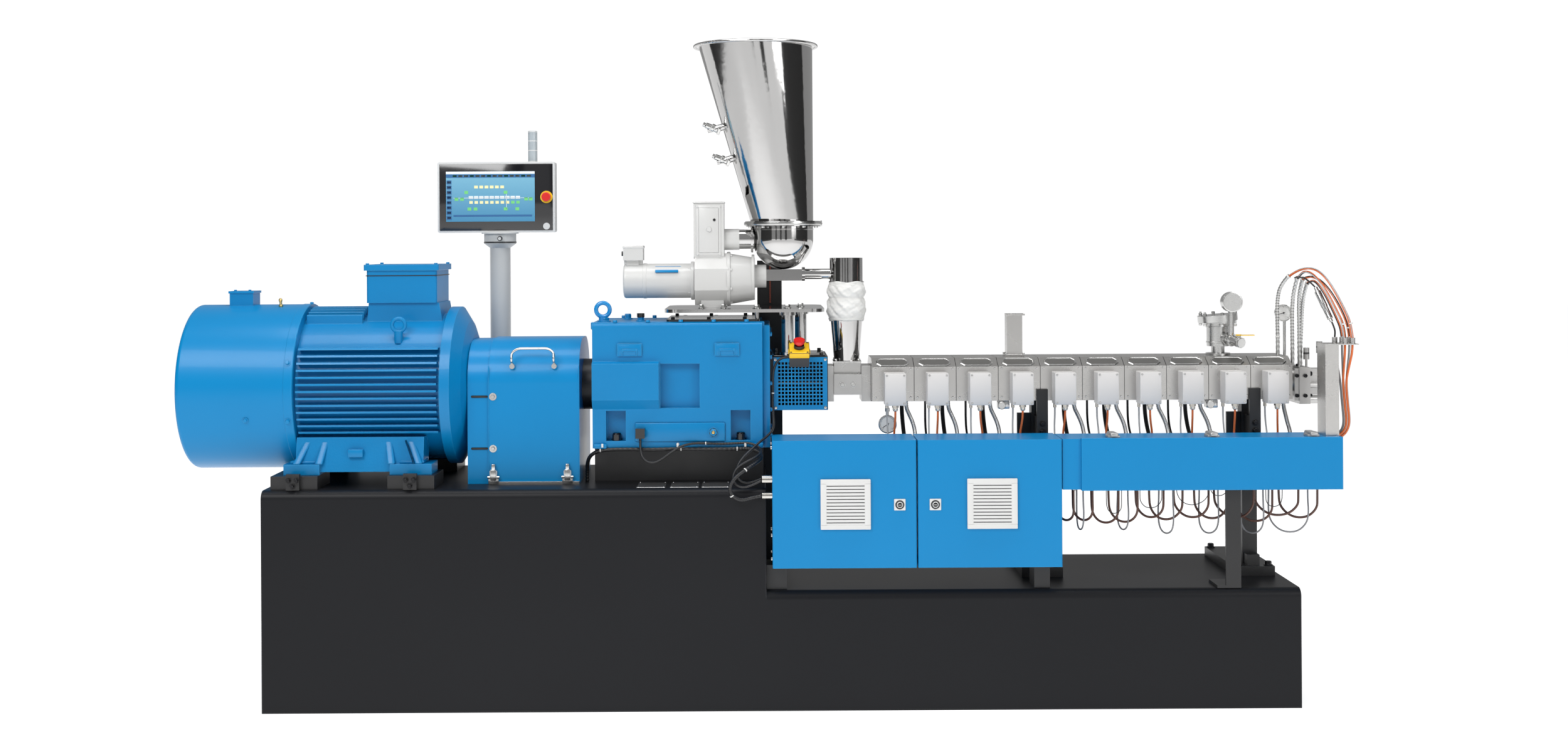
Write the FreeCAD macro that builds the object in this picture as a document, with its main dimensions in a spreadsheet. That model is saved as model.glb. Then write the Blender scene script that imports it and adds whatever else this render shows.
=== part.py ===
import FreeCAD, Part
import math
import os
import re
import Sketcher
from FreeCAD import Placement, Rotation, Vector

# Twin-screw extruder line, in millimetres. X runs along the machine from the motor to the die,
# -Y is the operator's side, Z is up. The origin is on the floor under the middle of the base.

# Driving dimensions. Every value can be changed by itself.
DIMENSIONS = {
    # base: a tall block under the drive and a low block under the barrels
    "base_length": 3088, "upper_length": 1500, "base_width": 600,
    "upper_height": 660, "lower_height": 355, "base_round": 25,
    # drive motor on its two rails
    "rail_width": 140, "rail_depth": 540, "rail_run": 150, "rail_height": 40, "shaft_height": 250,
    "foot_pitch": 349, "foot_spread": 245, "foot_thickness": 32, "stop_width": 40,
    "cowl_length": 355, "cowl_radius": 255, "motor_length": 438, "motor_radius": 225,
    "fin_radius": 248, "fin_pitch": 21, "fin_thickness": 6, "fin_rows": 6, "shield_length": 73,
    "terminal_length": 217, "terminal_width": 210, "terminal_height": 100, "terminal_lid": 18,
    # coupling and its hood
    "guard_length": 340, "guard_width": 340, "guard_height": 438, "guard_round": 130,
    "hood_step": 65, "coupling_gap": 42, "coupling_radius": 79,
    # distributing gearbox
    "gearbox_length": 517, "gearbox_width": 360, "gearbox_drop": 182, "gearbox_rise": 199,
    "gearbox_flange": 23, "gearbox_overhang": 15, "pedestal_width": 220,
    # lantern and feed barrel
    "lantern_length": 178, "lantern_width": 250, "lantern_drop": 74, "lantern_rise": 90,
    "lantern_wall": 12, "shaft_radius": 12, "shaft_spacing": 28,
    "feed_flange": 21, "feed_block": 86, "feed_end": 29, "feed_bore": 36,
    # barrels and their insulated covers
    "barrel_count": 10, "barrel_pitch": 129.4, "barrel_size": 110, "barrel_gap": 0.4,
    "cover_gap": 1.6, "cover_depth": 230, "cover_drop": 50, "cover_shoulder": 55,
    "cover_rise": 80, "cover_top": 140, "grip_length": 97, "grip_depth": 3,
    # junction boxes on the covers
    "box_width": 64, "box_height": 98, "box_depth": 60, "box_below": 58, "box_shift": 3,
    # cabinets, their doors and the wire trough
    "cabinet_length": 426, "cabinet_height": 377, "cabinet_depth": 152, "cabinet_bottom": 428,
    "cabinet_back": 160, "cabinet_gap": 4, "cabinet_wall": 2.5, "cabinet_offset": 19,
    "door_thickness": 16, "door_gap": 0.5, "filter_size": 148, "filter_depth": 9, "lock_size": 34,
    "trough_length": 823, "trough_gap": 3, "trough_height": 150, "trough_depth": 140, "trough_back": 180,
    "lid_inset": 55, "lid_thickness": 9, "gland_pitch": 134.8, "gland_radius": 8, "gland_length": 10,
    # supports on the low block
    "support_plate": 30, "support_width": 127, "support_post": 46, "first_support": 522,
    "support_pitch": 653, "leg_width": 45,
    # riser for the leads to the die
    "riser_width": 40, "riser_depth": 75, "riser_height": 272, "riser_wall": 3, "riser_shelf": 100,
    # die head
    "adaptor_length": 25, "adaptor_radius": 40, "clamp_plate": 14, "die_length": 34, "die_width": 114,
    "die_height": 114, "nozzle_length": 42, "nozzle_height": 64,
    # feeder on its column
    "column_size": 97, "column_inner": 80, "column_clearance": 3, "platform_height": 1178,
    "platform_thickness": 10, "platform_length": 490, "platform_width": 370,
    "screw_height": 1291, "chute_x": 213, "chute_radius": 51.5, "chute_bore": 49,
    "drum_radius": 87, "feeder_motor_radius": 54, "feeder_motor_length": 224,
    "bowl_radius": 95, "bowl_height": 1441, "bowl_wall": 2.5, "hopper_height": 2006,
    "hopper_bottom": 98.5, "hopper_top": 178.5, "hopper_wall": 2, "hopper_lean": 80,
    "funnel_bottom": 1015, "funnel_top": 1164, "sleeve_gap": 0.3,
    # control panel on its post
    "post_radius": 33, "post_height": 718, "panel_width": 382, "panel_height": 230,
    "panel_depth": 60, "panel_drop": 54, "light_radius": 15, "light_height": 102,
}

# Stations along the machine and levels above the floor, worked out from the dimensions.
STATIONS = {
    "step": "upper_length - base_length / 2",
    "axis_level": "upper_height + rail_height + shaft_height",
    "rail_level": "upper_height + rail_height",
    "gearbox_right": "step + gearbox_overhang",
    "gearbox_face": "gearbox_right - gearbox_flange",
    "gearbox_left": "gearbox_face - gearbox_length",
    "gearbox_bottom": "axis_level - gearbox_drop",
    "gearbox_top": "axis_level + gearbox_rise",
    "guard_right": "gearbox_left - coupling_gap",
    "guard_left": "guard_right - guard_length",
    "shield_left": "guard_left - shield_length",
    "motor_left": "shield_left - motor_length",
    "cowl_left": "motor_left - cowl_length",
    "drive_foot": "shield_left - 80",
    "rear_foot": "drive_foot - foot_pitch",
    "terminal_left": "shield_left - 247",
    "terminal_bottom": "axis_level + 261",
    "terminal_top": "terminal_bottom + terminal_height",
    "lantern_right": "gearbox_right + lantern_length",
    "feed_left": "lantern_right + feed_flange",
    "feed_right": "feed_left + feed_block",
    "barrels_left": "feed_right + feed_end",
    "barrels_right": "barrels_left + barrel_count * barrel_pitch",
    "barrel_bottom": "axis_level - barrel_size / 2",
    "barrel_top": "axis_level + barrel_size / 2",
    "cover_bottom": "axis_level - cover_drop",
    "cover_level": "axis_level + cover_rise",
    "cover_front": "cover_depth / 2",
    "first_box": "barrels_left + barrel_pitch / 2 + box_shift",
    "box_bottom": "axis_level - box_below",
    "left_cabinet_x": "step + cabinet_offset",
    "right_cabinet_x": "left_cabinet_x + cabinet_length + cabinet_gap",
    "cabinets_right": "right_cabinet_x + cabinet_length",
    "cabinet_top": "cabinet_bottom + cabinet_height",
    "cabinet_front": "cabinet_back + cabinet_depth",
    "door_back": "cabinet_front + door_gap",
    "door_front": "door_back + door_thickness",
    "trough_left": "cabinets_right + trough_gap",
    "trough_right": "trough_left + trough_length",
    "trough_bottom": "cabinet_top - trough_height",
    "trough_front": "trough_back + trough_depth",
    "die_left": "barrels_right + adaptor_length + clamp_plate",
    "die_right": "die_left + die_length",
    "support_one": "barrels_left + first_support",
    "support_two": "support_one + support_pitch",
    "platform_top": "platform_height + platform_thickness",
    "column_left": "step - 40",
    "column_front": "base_width / 2 - column_size",
    "bowl_x": "chute_x - 198",
    "post_x": "guard_left + 43",
    "post_y": "base_width / 2 - 70",
    "post_top": "upper_height + post_height",
    "panel_bottom": "post_top + panel_drop - 4",
    "panel_top": "panel_bottom + panel_height",
    "panel_left": "post_x - 199",
}

doc = FreeCAD.newDocument("twin_screw_extruder")
sizes = doc.addObject("Spreadsheet::Sheet", "sizes")
for line, (alias, number) in enumerate(list(DIMENSIONS.items()) + list(STATIONS.items()), start=1):
    sizes.set(f"A{line}", alias)
    sizes.set(f"B{line}", f"={number}" if alias in STATIONS else str(number))
    sizes.setAlias(f"B{line}", alias)
doc.recompute()

AXES = {
    "x": Rotation(Vector(0, 1, 0), 90),
    "y": Rotation(Vector(1, 0, 0), -90),
    "z": Rotation(),
}
PLANES = {"x": "YZ_Plane", "y": "XZ_Plane", "z": "XY_Plane"}
nodes = {}


def size(alias):
    """The value of one cell of the sheet."""
    return float(getattr(sizes, alias))


def bind(item, target, text):
    """Ties one property of an object to a formula in the sheet's names."""
    known = lambda word: f"sizes.{word.group()}" if hasattr(sizes, word.group()) else word.group()
    item.setExpression(target, re.sub(r"[a-z][a-z_]+", known, str(text)))


def place(item, axis, start, centre):
    """Puts a solid of revolution on an axis: its start along it and its centre across it."""
    item.Placement = Placement(Vector(), AXES[axis])
    across = [letter for letter in "xyz" if letter != axis]
    bind(item, f"Placement.Base.{axis}", start)
    for letter, text in zip(across, centre):
        bind(item, f"Placement.Base.{letter}", text)


def box(name, x, y, z):
    """A block between two planes along each axis."""
    block = doc.addObject("Part::Box", name)
    for side, letter, (low, high) in zip(("Length", "Width", "Height"), "xyz", (x, y, z)):
        bind(block, side, f"({high}) - ({low})")
        bind(block, f"Placement.Base.{letter}", low)
    return block


def rod(name, axis, radius, ends, centre):
    """A round bar between two planes along one axis."""
    bar = doc.addObject("Part::Cylinder", name)
    bind(bar, "Radius", radius)
    bind(bar, "Height", f"({ends[1]}) - ({ends[0]})")
    place(bar, axis, ends[0], centre)
    return bar


def cone(name, axis, radii, ends, centre):
    """A cone between two planes along one axis."""
    taper = doc.addObject("Part::Cone", name)
    bind(taper, "Radius1", radii[0])
    bind(taper, "Radius2", radii[1])
    bind(taper, "Height", f"({ends[1]}) - ({ends[0]})")
    place(taper, axis, ends[0], centre)
    return taper


def ring(name, axis, radius, thickness, centre):
    """A ring of round bar about one axis, its centre given in X, Y, Z order."""
    torus = doc.addObject("Part::Torus", name)
    bind(torus, "Radius1", radius)
    bind(torus, "Radius2", thickness)
    torus.Placement = Placement(Vector(), AXES[axis])
    for letter, text in zip("xyz", centre):
        bind(torus, f"Placement.Base.{letter}", text)
    return torus


def fuse(name, *items):
    """Several shapes as one solid."""
    joined = doc.addObject("Part::MultiFuse", name)
    joined.Shapes = list(items)
    joined.Refine = True
    return joined


def together(name, *items):
    """Several separate solids in one sub-part."""
    group = doc.addObject("Part::Compound", name)
    group.Links = list(items)
    return group


def cut(name, base, *tools):
    """A shape less one or more others."""
    result = doc.addObject("Part::Cut", name)
    result.Base = base
    result.Tool = tools[0] if len(tools) == 1 else together(name + "_tools", *tools)
    result.Refine = True
    return result


def common(name, base, tool):
    """What two shapes share."""
    shared = doc.addObject("Part::Common", name)
    shared.Base = base
    shared.Tool = tool
    return shared


def rounded(name, base, radius, chosen):
    """A shape with the chosen edges rounded."""
    doc.recompute()
    fillet = doc.addObject("Part::Fillet", name)
    fillet.Base = base
    picked = [index for index, edge in enumerate(base.Shape.Edges, start=1) if chosen(edge)]
    fillet.Edges = [(index, radius, radius) for index in picked]
    return fillet


def along(axis, test=lambda middle: True):
    """Picks the straight edges along one axis whose middle passes the test."""
    number = "xyz".index(axis)

    def chosen(edge):
        first, last = edge.Vertexes[0].Point, edge.Vertexes[-1].Point
        step_taken = last - first
        straight = abs(abs(step_taken[number]) - edge.Length) < 0.001 and edge.Length > 0.001
        return straight and test((first + last) / 2)
    return chosen


def outline(body, name, axis, offset, corners):
    """A closed sketch of straight sides across an axis; each corner is a pair of formulas."""
    sketch = body.newObject("Sketcher::SketchObject", name)
    plane = next(item for item in body.Origin.OriginFeatures if item.Role == PLANES[axis])
    sketch.AttachmentSupport = (plane, [""])
    sketch.MapMode = "FlatFace"
    bind(sketch, "AttachmentOffset.Base.z", offset)
    count = len(corners)
    turn = 2 * math.pi / count
    starts = [Vector(math.cos(turn * k), math.sin(turn * k), 0) * 100 for k in range(count)]
    for k in range(count):
        sketch.addGeometry(Part.LineSegment(starts[k], starts[(k + 1) % count]), False)
    for k in range(count):
        sketch.addConstraint(Sketcher.Constraint("Coincident", k, 2, (k + 1) % count, 1))
    for k, corner in enumerate(corners):
        for kind, text, value in zip(("DistanceX", "DistanceY"), corner, starts[k]):
            number = sketch.addConstraint(Sketcher.Constraint(kind, -1, 1, k, 1, value))
            bind(sketch, f"Constraints[{number}]", text)
    return sketch


def prism(name, axis, corners, ends):
    """A straight-sided profile padded between two planes along an axis."""
    body = doc.addObject("PartDesign::Body", name)
    flip = axis == "y"
    offset = f"-({ends[1]})" if flip else ends[0]
    sketch = outline(body, name + "_outline", axis, offset, corners)
    pad = body.newObject("PartDesign::Pad", name + "_pad")
    pad.Profile = sketch
    bind(pad, "Length", f"({ends[1]}) - ({ends[0]})")
    return body


def turned(name, axis, centre, corners):
    """A profile of radius and height pairs, revolved about a line along Z or X."""
    body = doc.addObject("PartDesign::Body", name)
    sketch = outline(body, name + "_outline", "y", 0, corners)
    turn = body.newObject("PartDesign::Revolution", name + "_turn")
    turn.Profile = sketch
    turn.ReferenceAxis = (sketch, ["V_Axis"])
    turn.Angle = 360
    place(body, axis, centre["xyz".index(axis)],
          [centre["xyz".index(letter)] for letter in "xyz" if letter != axis])
    return body


def tube_path(points):
    """Straight runs joined by tangent arcs, each as large as its two runs allow."""
    corners = [Vector(*point) for point in points]
    edges, radii, start = [], [], corners[0]
    for before, corner, after in zip(corners, corners[1:], corners[2:]):
        arriving, leaving = corner - before, after - corner
        turn = arriving.getAngle(leaving)
        shorter = min(arriving.Length, leaving.Length)
        setback = 0.45 * shorter
        radii.append(setback / math.tan(turn / 2))
        entry = corner - Vector(arriving).normalize() * setback
        leave = corner + Vector(leaving).normalize() * setback
        bisector = (Vector(leaving).normalize() - Vector(arriving).normalize()).normalize()
        centre_distance = radii[-1] / math.cos(turn / 2)
        middle = corner + bisector * (centre_distance - radii[-1])
        edges.append(Part.LineSegment(start, entry).toShape())
        edges.append(Part.Arc(entry, middle, leave).toShape())
        start = leave
    edges.append(Part.LineSegment(start, corners[-1]).toShape())
    return Part.Wire(edges), min(radii) if radii else math.inf


def tube(name, radius, points):
    """One cord or hose along its route."""
    path, tightest = tube_path(points)
    heading = Vector(*points[1]) - Vector(*points[0])
    section = Part.Wire([Part.Circle(Vector(*points[0]), heading, radius).toShape()])
    swept = path.makePipeShell([section], True, False)
    solid = swept if swept.ShapeType == "Solid" else Part.Solid(swept.Shells[0])
    expected = math.pi * radius ** 2 * path.Length
    if abs(solid.Volume - expected) > 0.02 * expected:
        raise ValueError(f"{name}: tube volume {solid.Volume:.0f}, expected {expected:.0f}")
    print(f"{name}: length {path.Length:.0f} mm, tightest radius {tightest:.1f} mm, "
          f"{tightest / (2 * radius):.1f} diameters")
    feature = doc.addObject("Part::Feature", name)
    feature.Shape = solid
    feature.Placement = Placement()
    return feature


def node(name, item):
    """Names a finished sub-part."""
    item.Label = name
    nodes[name] = item
    return item


# ---------------------------------------------------------------- base

def make_base():
    body = prism("base_block", "y", [
        ("-base_length / 2", "0"), ("base_length / 2", "0"), ("base_length / 2", "lower_height"),
        ("step", "lower_height"), ("step", "upper_height"), ("-base_length / 2", "upper_height"),
    ], ("-base_width / 2", "base_width / 2"))
    notch = outline(body, "column_notch", "z", "upper_height", [
        ("column_left - column_clearance", "column_front - column_clearance"),
        ("step + 10", "column_front - column_clearance"),
        ("step + 10", "base_width / 2 + 10"),
        ("column_left - column_clearance", "base_width / 2 + 10"),
    ])
    pocket = body.newObject("PartDesign::Pocket", "column_pocket")
    pocket.Profile = notch
    bind(pocket, "Length", "upper_height - lower_height")
    doc.recompute()
    edge_line = size("base_width") / 2
    chosen = along("x", lambda middle: abs(abs(middle.y) - edge_line) < 0.01 and middle.z > 1)
    names = [f"Edge{index}" for index, edge in enumerate(pocket.Shape.Edges, start=1) if chosen(edge)]
    fillet = body.newObject("PartDesign::Fillet", "long_edges")
    fillet.Base = (pocket, names)
    bind(fillet, "Radius", "base_round")
    body.Tip = fillet
    node("base_frame", body)


# ---------------------------------------------------------------- drive motor

def make_motor():
    rails = []
    for end, hole in (("rear", "rear_foot"), ("drive", "drive_foot")):
        for side, rail_y, stop_y in (
                ("front", ("-rail_depth / 2", "-rail_depth / 2 + rail_run"),
                 ("-rail_depth / 2 - 15", "-rail_depth / 2")),
                ("back", ("rail_depth / 2 - rail_run", "rail_depth / 2"),
                 ("rail_depth / 2", "rail_depth / 2 + 15"))):
            rail = box(f"{end}_{side}_rail", (f"{hole} - rail_width / 2", f"{hole} + rail_width / 2"),
                       rail_y, ("upper_height", "rail_level"))
            stop = box(f"{end}_{side}_stop", (f"{hole} - stop_width / 2", f"{hole} + stop_width / 2"),
                       stop_y, ("upper_height", "rail_level + 8"))
            rails.append(fuse(f"{end}_{side}_rail_set", rail, stop))
    node("motor_rails", together("rails", *rails))

    barrel = rod("motor_barrel", "x", "motor_radius", ("motor_left", "shield_left"), ("0", "axis_level"))
    fins = []
    for row in range(-int(size("fin_rows")), int(size("fin_rows")) + 1):
        fins.append(box(f"side_fin_{row}", ("motor_left + 8", "shield_left - 8"),
                        ("-fin_radius", "fin_radius"),
                        (f"axis_level + {row} * fin_pitch - fin_thickness / 2",
                         f"axis_level + {row} * fin_pitch + fin_thickness / 2")))
        fins.append(box(f"top_fin_{row}", ("motor_left + 8", "terminal_left - 12"),
                        (f"{row} * fin_pitch - fin_thickness / 2", f"{row} * fin_pitch + fin_thickness / 2"),
                        ("axis_level + 150", "axis_level + fin_radius")))
    fins.append(box("cast_pads", ("motor_left + 55", "shield_left - 15"), ("-fin_radius", "fin_radius"),
                    ("axis_level + 151", "axis_level + 213")))
    fin_field = common("fin_field", together("fin_blanks", *fins),
                       rod("fin_envelope", "x", "fin_radius", ("motor_left", "shield_left"),
                           ("0", "axis_level")))
    feet = []
    for name, low, high in (("rear", "rear_foot - 38", "rear_foot + 70"),
                            ("drive", "drive_foot - 68", "drive_foot + 58")):
        for side, y in (("front", ("-foot_spread", "-foot_spread + 95")),
                        ("back", ("foot_spread - 95", "foot_spread"))):
            feet.append(box(f"{name}_{side}_foot", (low, high), y,
                            ("rail_level", "rail_level + foot_thickness")))
    for side in ("-", ""):
        feet.append(prism("skirt_front" if side else "skirt_back", "x", [
            (f"{side}(foot_spread - 10)", "rail_level + 8"), (f"{side}(foot_spread - 30)", "rail_level + 110"),
            (f"{side}(foot_spread - 115)", "rail_level + 110"), (f"{side}(foot_spread - 95)", "rail_level + 8"),
        ], ("motor_left + 4", "drive_foot + 30")))
    neck = prism("terminal_neck", "y", [
        ("terminal_left - 4", "axis_level + 150"), ("terminal_left + terminal_length + 24", "axis_level + 150"),
        ("terminal_left + terminal_length + 5", "terminal_bottom"), ("terminal_left + 5", "terminal_bottom"),
    ], ("-95", "95"))
    eye = ring("motor_eye", "y", 20, 6, ("drive_foot - 55", "-168", "axis_level + 196"))
    eye_boss = rod("motor_eye_boss", "z", 13, ("axis_level + 140", "axis_level + 178"), ("drive_foot - 55", "-168"))
    node("motor_housing", fuse("housing", barrel, fin_field, *feet, neck, eye, eye_boss))

    shield = turned("end_shield", "x", ("shield_left", "0", "axis_level"), [
        ("0", "0"), ("245", "0"), ("245", "30"), ("200", "58"), ("158", "shield_length"), ("0", "shield_length"),
    ])
    node("motor_end_shield", shield)

    drum = rod("cowl_drum", "x", "cowl_radius", ("cowl_left", "motor_left"), ("0", "axis_level"))
    recess = rod("cowl_recess", "x", "cowl_radius - 30", ("cowl_left", "cowl_left + 12"), ("0", "axis_level"))
    drum = cut("cowl_shell", rounded("cowl_round", drum, 14,
               lambda edge: edge.BoundBox.XMax < size("cowl_left") + 1), recess)
    small_box = box("fan_box", ("cowl_left + 104", "cowl_left + 177"), ("-38", "38"),
                    ("axis_level + 200", "axis_level + cowl_radius + 36"))
    small_lid = box("fan_box_lid", ("cowl_left + 101", "cowl_left + 180"), ("-41", "41"),
                    ("axis_level + cowl_radius + 36", "axis_level + cowl_radius + 43"))
    node("motor_fan_cowl", fuse("cowl", drum, small_box, small_lid))

    case = box("terminal_case", ("terminal_left", "terminal_left + terminal_length"),
               ("-terminal_width / 2", "terminal_width / 2"), ("terminal_bottom", "terminal_top"))
    lid = box("terminal_cap", ("terminal_left - 7", "terminal_left + terminal_length + 7"),
              ("-terminal_width / 2 - 7", "terminal_width / 2 + 7"),
              ("terminal_top", "terminal_top + terminal_lid"))
    lid = rounded("terminal_cap_round", lid, 5, along("z"))
    node("motor_terminal_box", fuse("terminal", rounded("terminal_case_round", case, 8, along("z")), lid))


# ---------------------------------------------------------------- coupling

def make_coupling():
    def hood(name, x, inset):
        block = box(name, x, (f"-guard_width / 2 + {inset}", f"guard_width / 2 - {inset}"),
                    ("upper_height", f"upper_height + guard_height - {inset}"))
        top = size("upper_height") + size("guard_height") - inset
        return rounded(name + "_round", block, size("guard_round") - inset,
                       along("x", lambda middle: middle.z > top - 1))
    outer = hood("outer_hood", ("guard_left + hood_step", "guard_right"), 0)
    inner = hood("inner_hood", ("guard_left", "guard_left + hood_step"), 4)
    guard = node("coupling_guard", fuse("guard", outer, inner))

    fittings = []
    left, right = size("guard_left") + 137, size("guard_left") + 265
    top = size("upper_height") + size("guard_height")
    handle = tube("guard_handle", 4, [
        (left, -150, top - 80), (left, -188, top - 62), (left, -178, top - 38), (left + 18, -170, top - 26),
        (right - 18, -170, top - 26), (right, -178, top - 38), (right, -188, top - 62), (right, -150, top - 80),
    ])
    fittings.append(cut("handle", handle, guard))
    for side, face, out in (("front", "-guard_width / 2", "-"), ("back", "guard_width / 2", "")):
        low, high = (f"{face} - 5", face) if out else (face, f"{face} + 5")
        fittings.append(box(f"{side}_strip", ("guard_left + hood_step", "guard_right"), (low, high),
                            ("upper_height", "upper_height + 8")))
        low, high = (f"{face} - 12", face) if out else (face, f"{face} + 12")
        for number, x in enumerate(("guard_left + 80", "guard_right - 35")):
            fittings.append(box(f"{side}_latch_{number}", (f"{x} - 11", f"{x} + 11"), (low, high),
                                ("upper_height + 10", "upper_height + 42")))
    node("guard_fittings", together("fittings", *fittings))

    shaft = rod("coupling_hub", "x", "coupling_radius", ("guard_right", "gearbox_left"), ("0", "axis_level"))
    node("shaft_coupling", shaft)


# ---------------------------------------------------------------- gearbox

def make_gearbox():
    front = "-gearbox_width / 2"
    case = box("gear_case", ("gearbox_left", "gearbox_face"), (front, "gearbox_width / 2"),
               ("gearbox_bottom", "gearbox_top"))
    case = rounded("gear_case_round", case, 12, along("x", lambda middle: middle.z > size("axis_level")))
    flange = box("gear_flange", ("gearbox_face", "gearbox_right"), (f"{front} + 25", "gearbox_width / 2 - 25"),
                 ("gearbox_bottom", "gearbox_top - 14"))
    bulge = prism("bearing_bulge", "x", [
        (front, "axis_level + 82"), (f"{front} - 20", "axis_level + 76"),
        (f"{front} - 20", "axis_level - 34"), (front, "axis_level - 64"),
    ], ("gearbox_left", "gearbox_left + 203"))
    pads = [box(f"lifting_pad_{k}", (f"gearbox_left + {x}", f"gearbox_left + {x} + 74"),
                (f"{front} - 6", front), ("gearbox_top - 101", "gearbox_top - 63"))
            for k, x in enumerate((77, 373))]
    pads.append(rounded("panel_round", box("raised_panel", ("gearbox_left + 130", "gearbox_left + 402"),
                                           (f"{front} - 5", front), ("gearbox_bottom + 21", "gearbox_bottom + 76")),
                        16, along("y")))
    recess = box("case_recess", ("gearbox_left + 206", "gearbox_left + 326"), (front, f"{front} + 25"),
                 ("axis_level - 61", "axis_level + 74"))
    pockets = [box(f"bolt_pocket_{k}", (f"gearbox_left + {x}", f"gearbox_left + {x} + 60"),
                   (f"{front} - 1", f"{front} + 40"), ("gearbox_bottom + 22", "gearbox_bottom + 114"))
               for k, x in enumerate((41, 420))]
    body = fuse("gear_body", case, flange, bulge, *pads)
    node("gearbox_housing", cut("gear_housing", body, recess, *pockets))

    node("gearbox_pedestal", box("pedestal", ("gearbox_left", "gearbox_right - 21"),
                                 ("-pedestal_width / 2", "pedestal_width / 2"),
                                 ("upper_height", "gearbox_bottom")))

    plate = rounded("top_plate_round", box("top_plate", ("gearbox_left + 224", "gearbox_face - 8"),
                    ("-150", "150"), ("gearbox_top", "gearbox_top + 8")), 12, along("z"))
    eye_x = "gearbox_left + 28"
    shackle = fuse("shackle", rod("shackle_boss", "z", 13, ("gearbox_top", "gearbox_top + 14"), (eye_x, "-120")),
                   ring("shackle_eye", "y", 21, 6.5, (eye_x, "-120", "gearbox_top + 38")))
    breather = fuse("breather", rod("breather_stem", "z", 7, ("gearbox_top", "gearbox_top + 12"),
                                    ("gearbox_left + 140", "-60")),
                    rod("breather_cap", "z", 12, ("gearbox_top + 12", "gearbox_top + 24"),
                        ("gearbox_left + 140", "-60")))
    oil_plug = rod("oil_plug", "y", 12, (f"{front} - 14", f"{front} - 5"), ("gearbox_left + 367", "gearbox_bottom + 48"))
    sensor = box("case_sensor", ("gearbox_left + 132", "gearbox_left + 160"), (f"{front} - 27", f"{front} - 5"),
                 ("gearbox_bottom + 32", "gearbox_bottom + 62"))
    heads = [rod(f"foot_bolt_{k}", "z", 13, ("gearbox_bottom + 22", "gearbox_bottom + 40"),
                 (f"gearbox_left + {x}", f"{front} + 20")) for k, x in enumerate((71, 450))]
    node("gearbox_fittings", together("gear_fittings", plate, shackle, breather, oil_plug, sensor, *heads))


# ---------------------------------------------------------------- lantern, feed barrel, barrels

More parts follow.
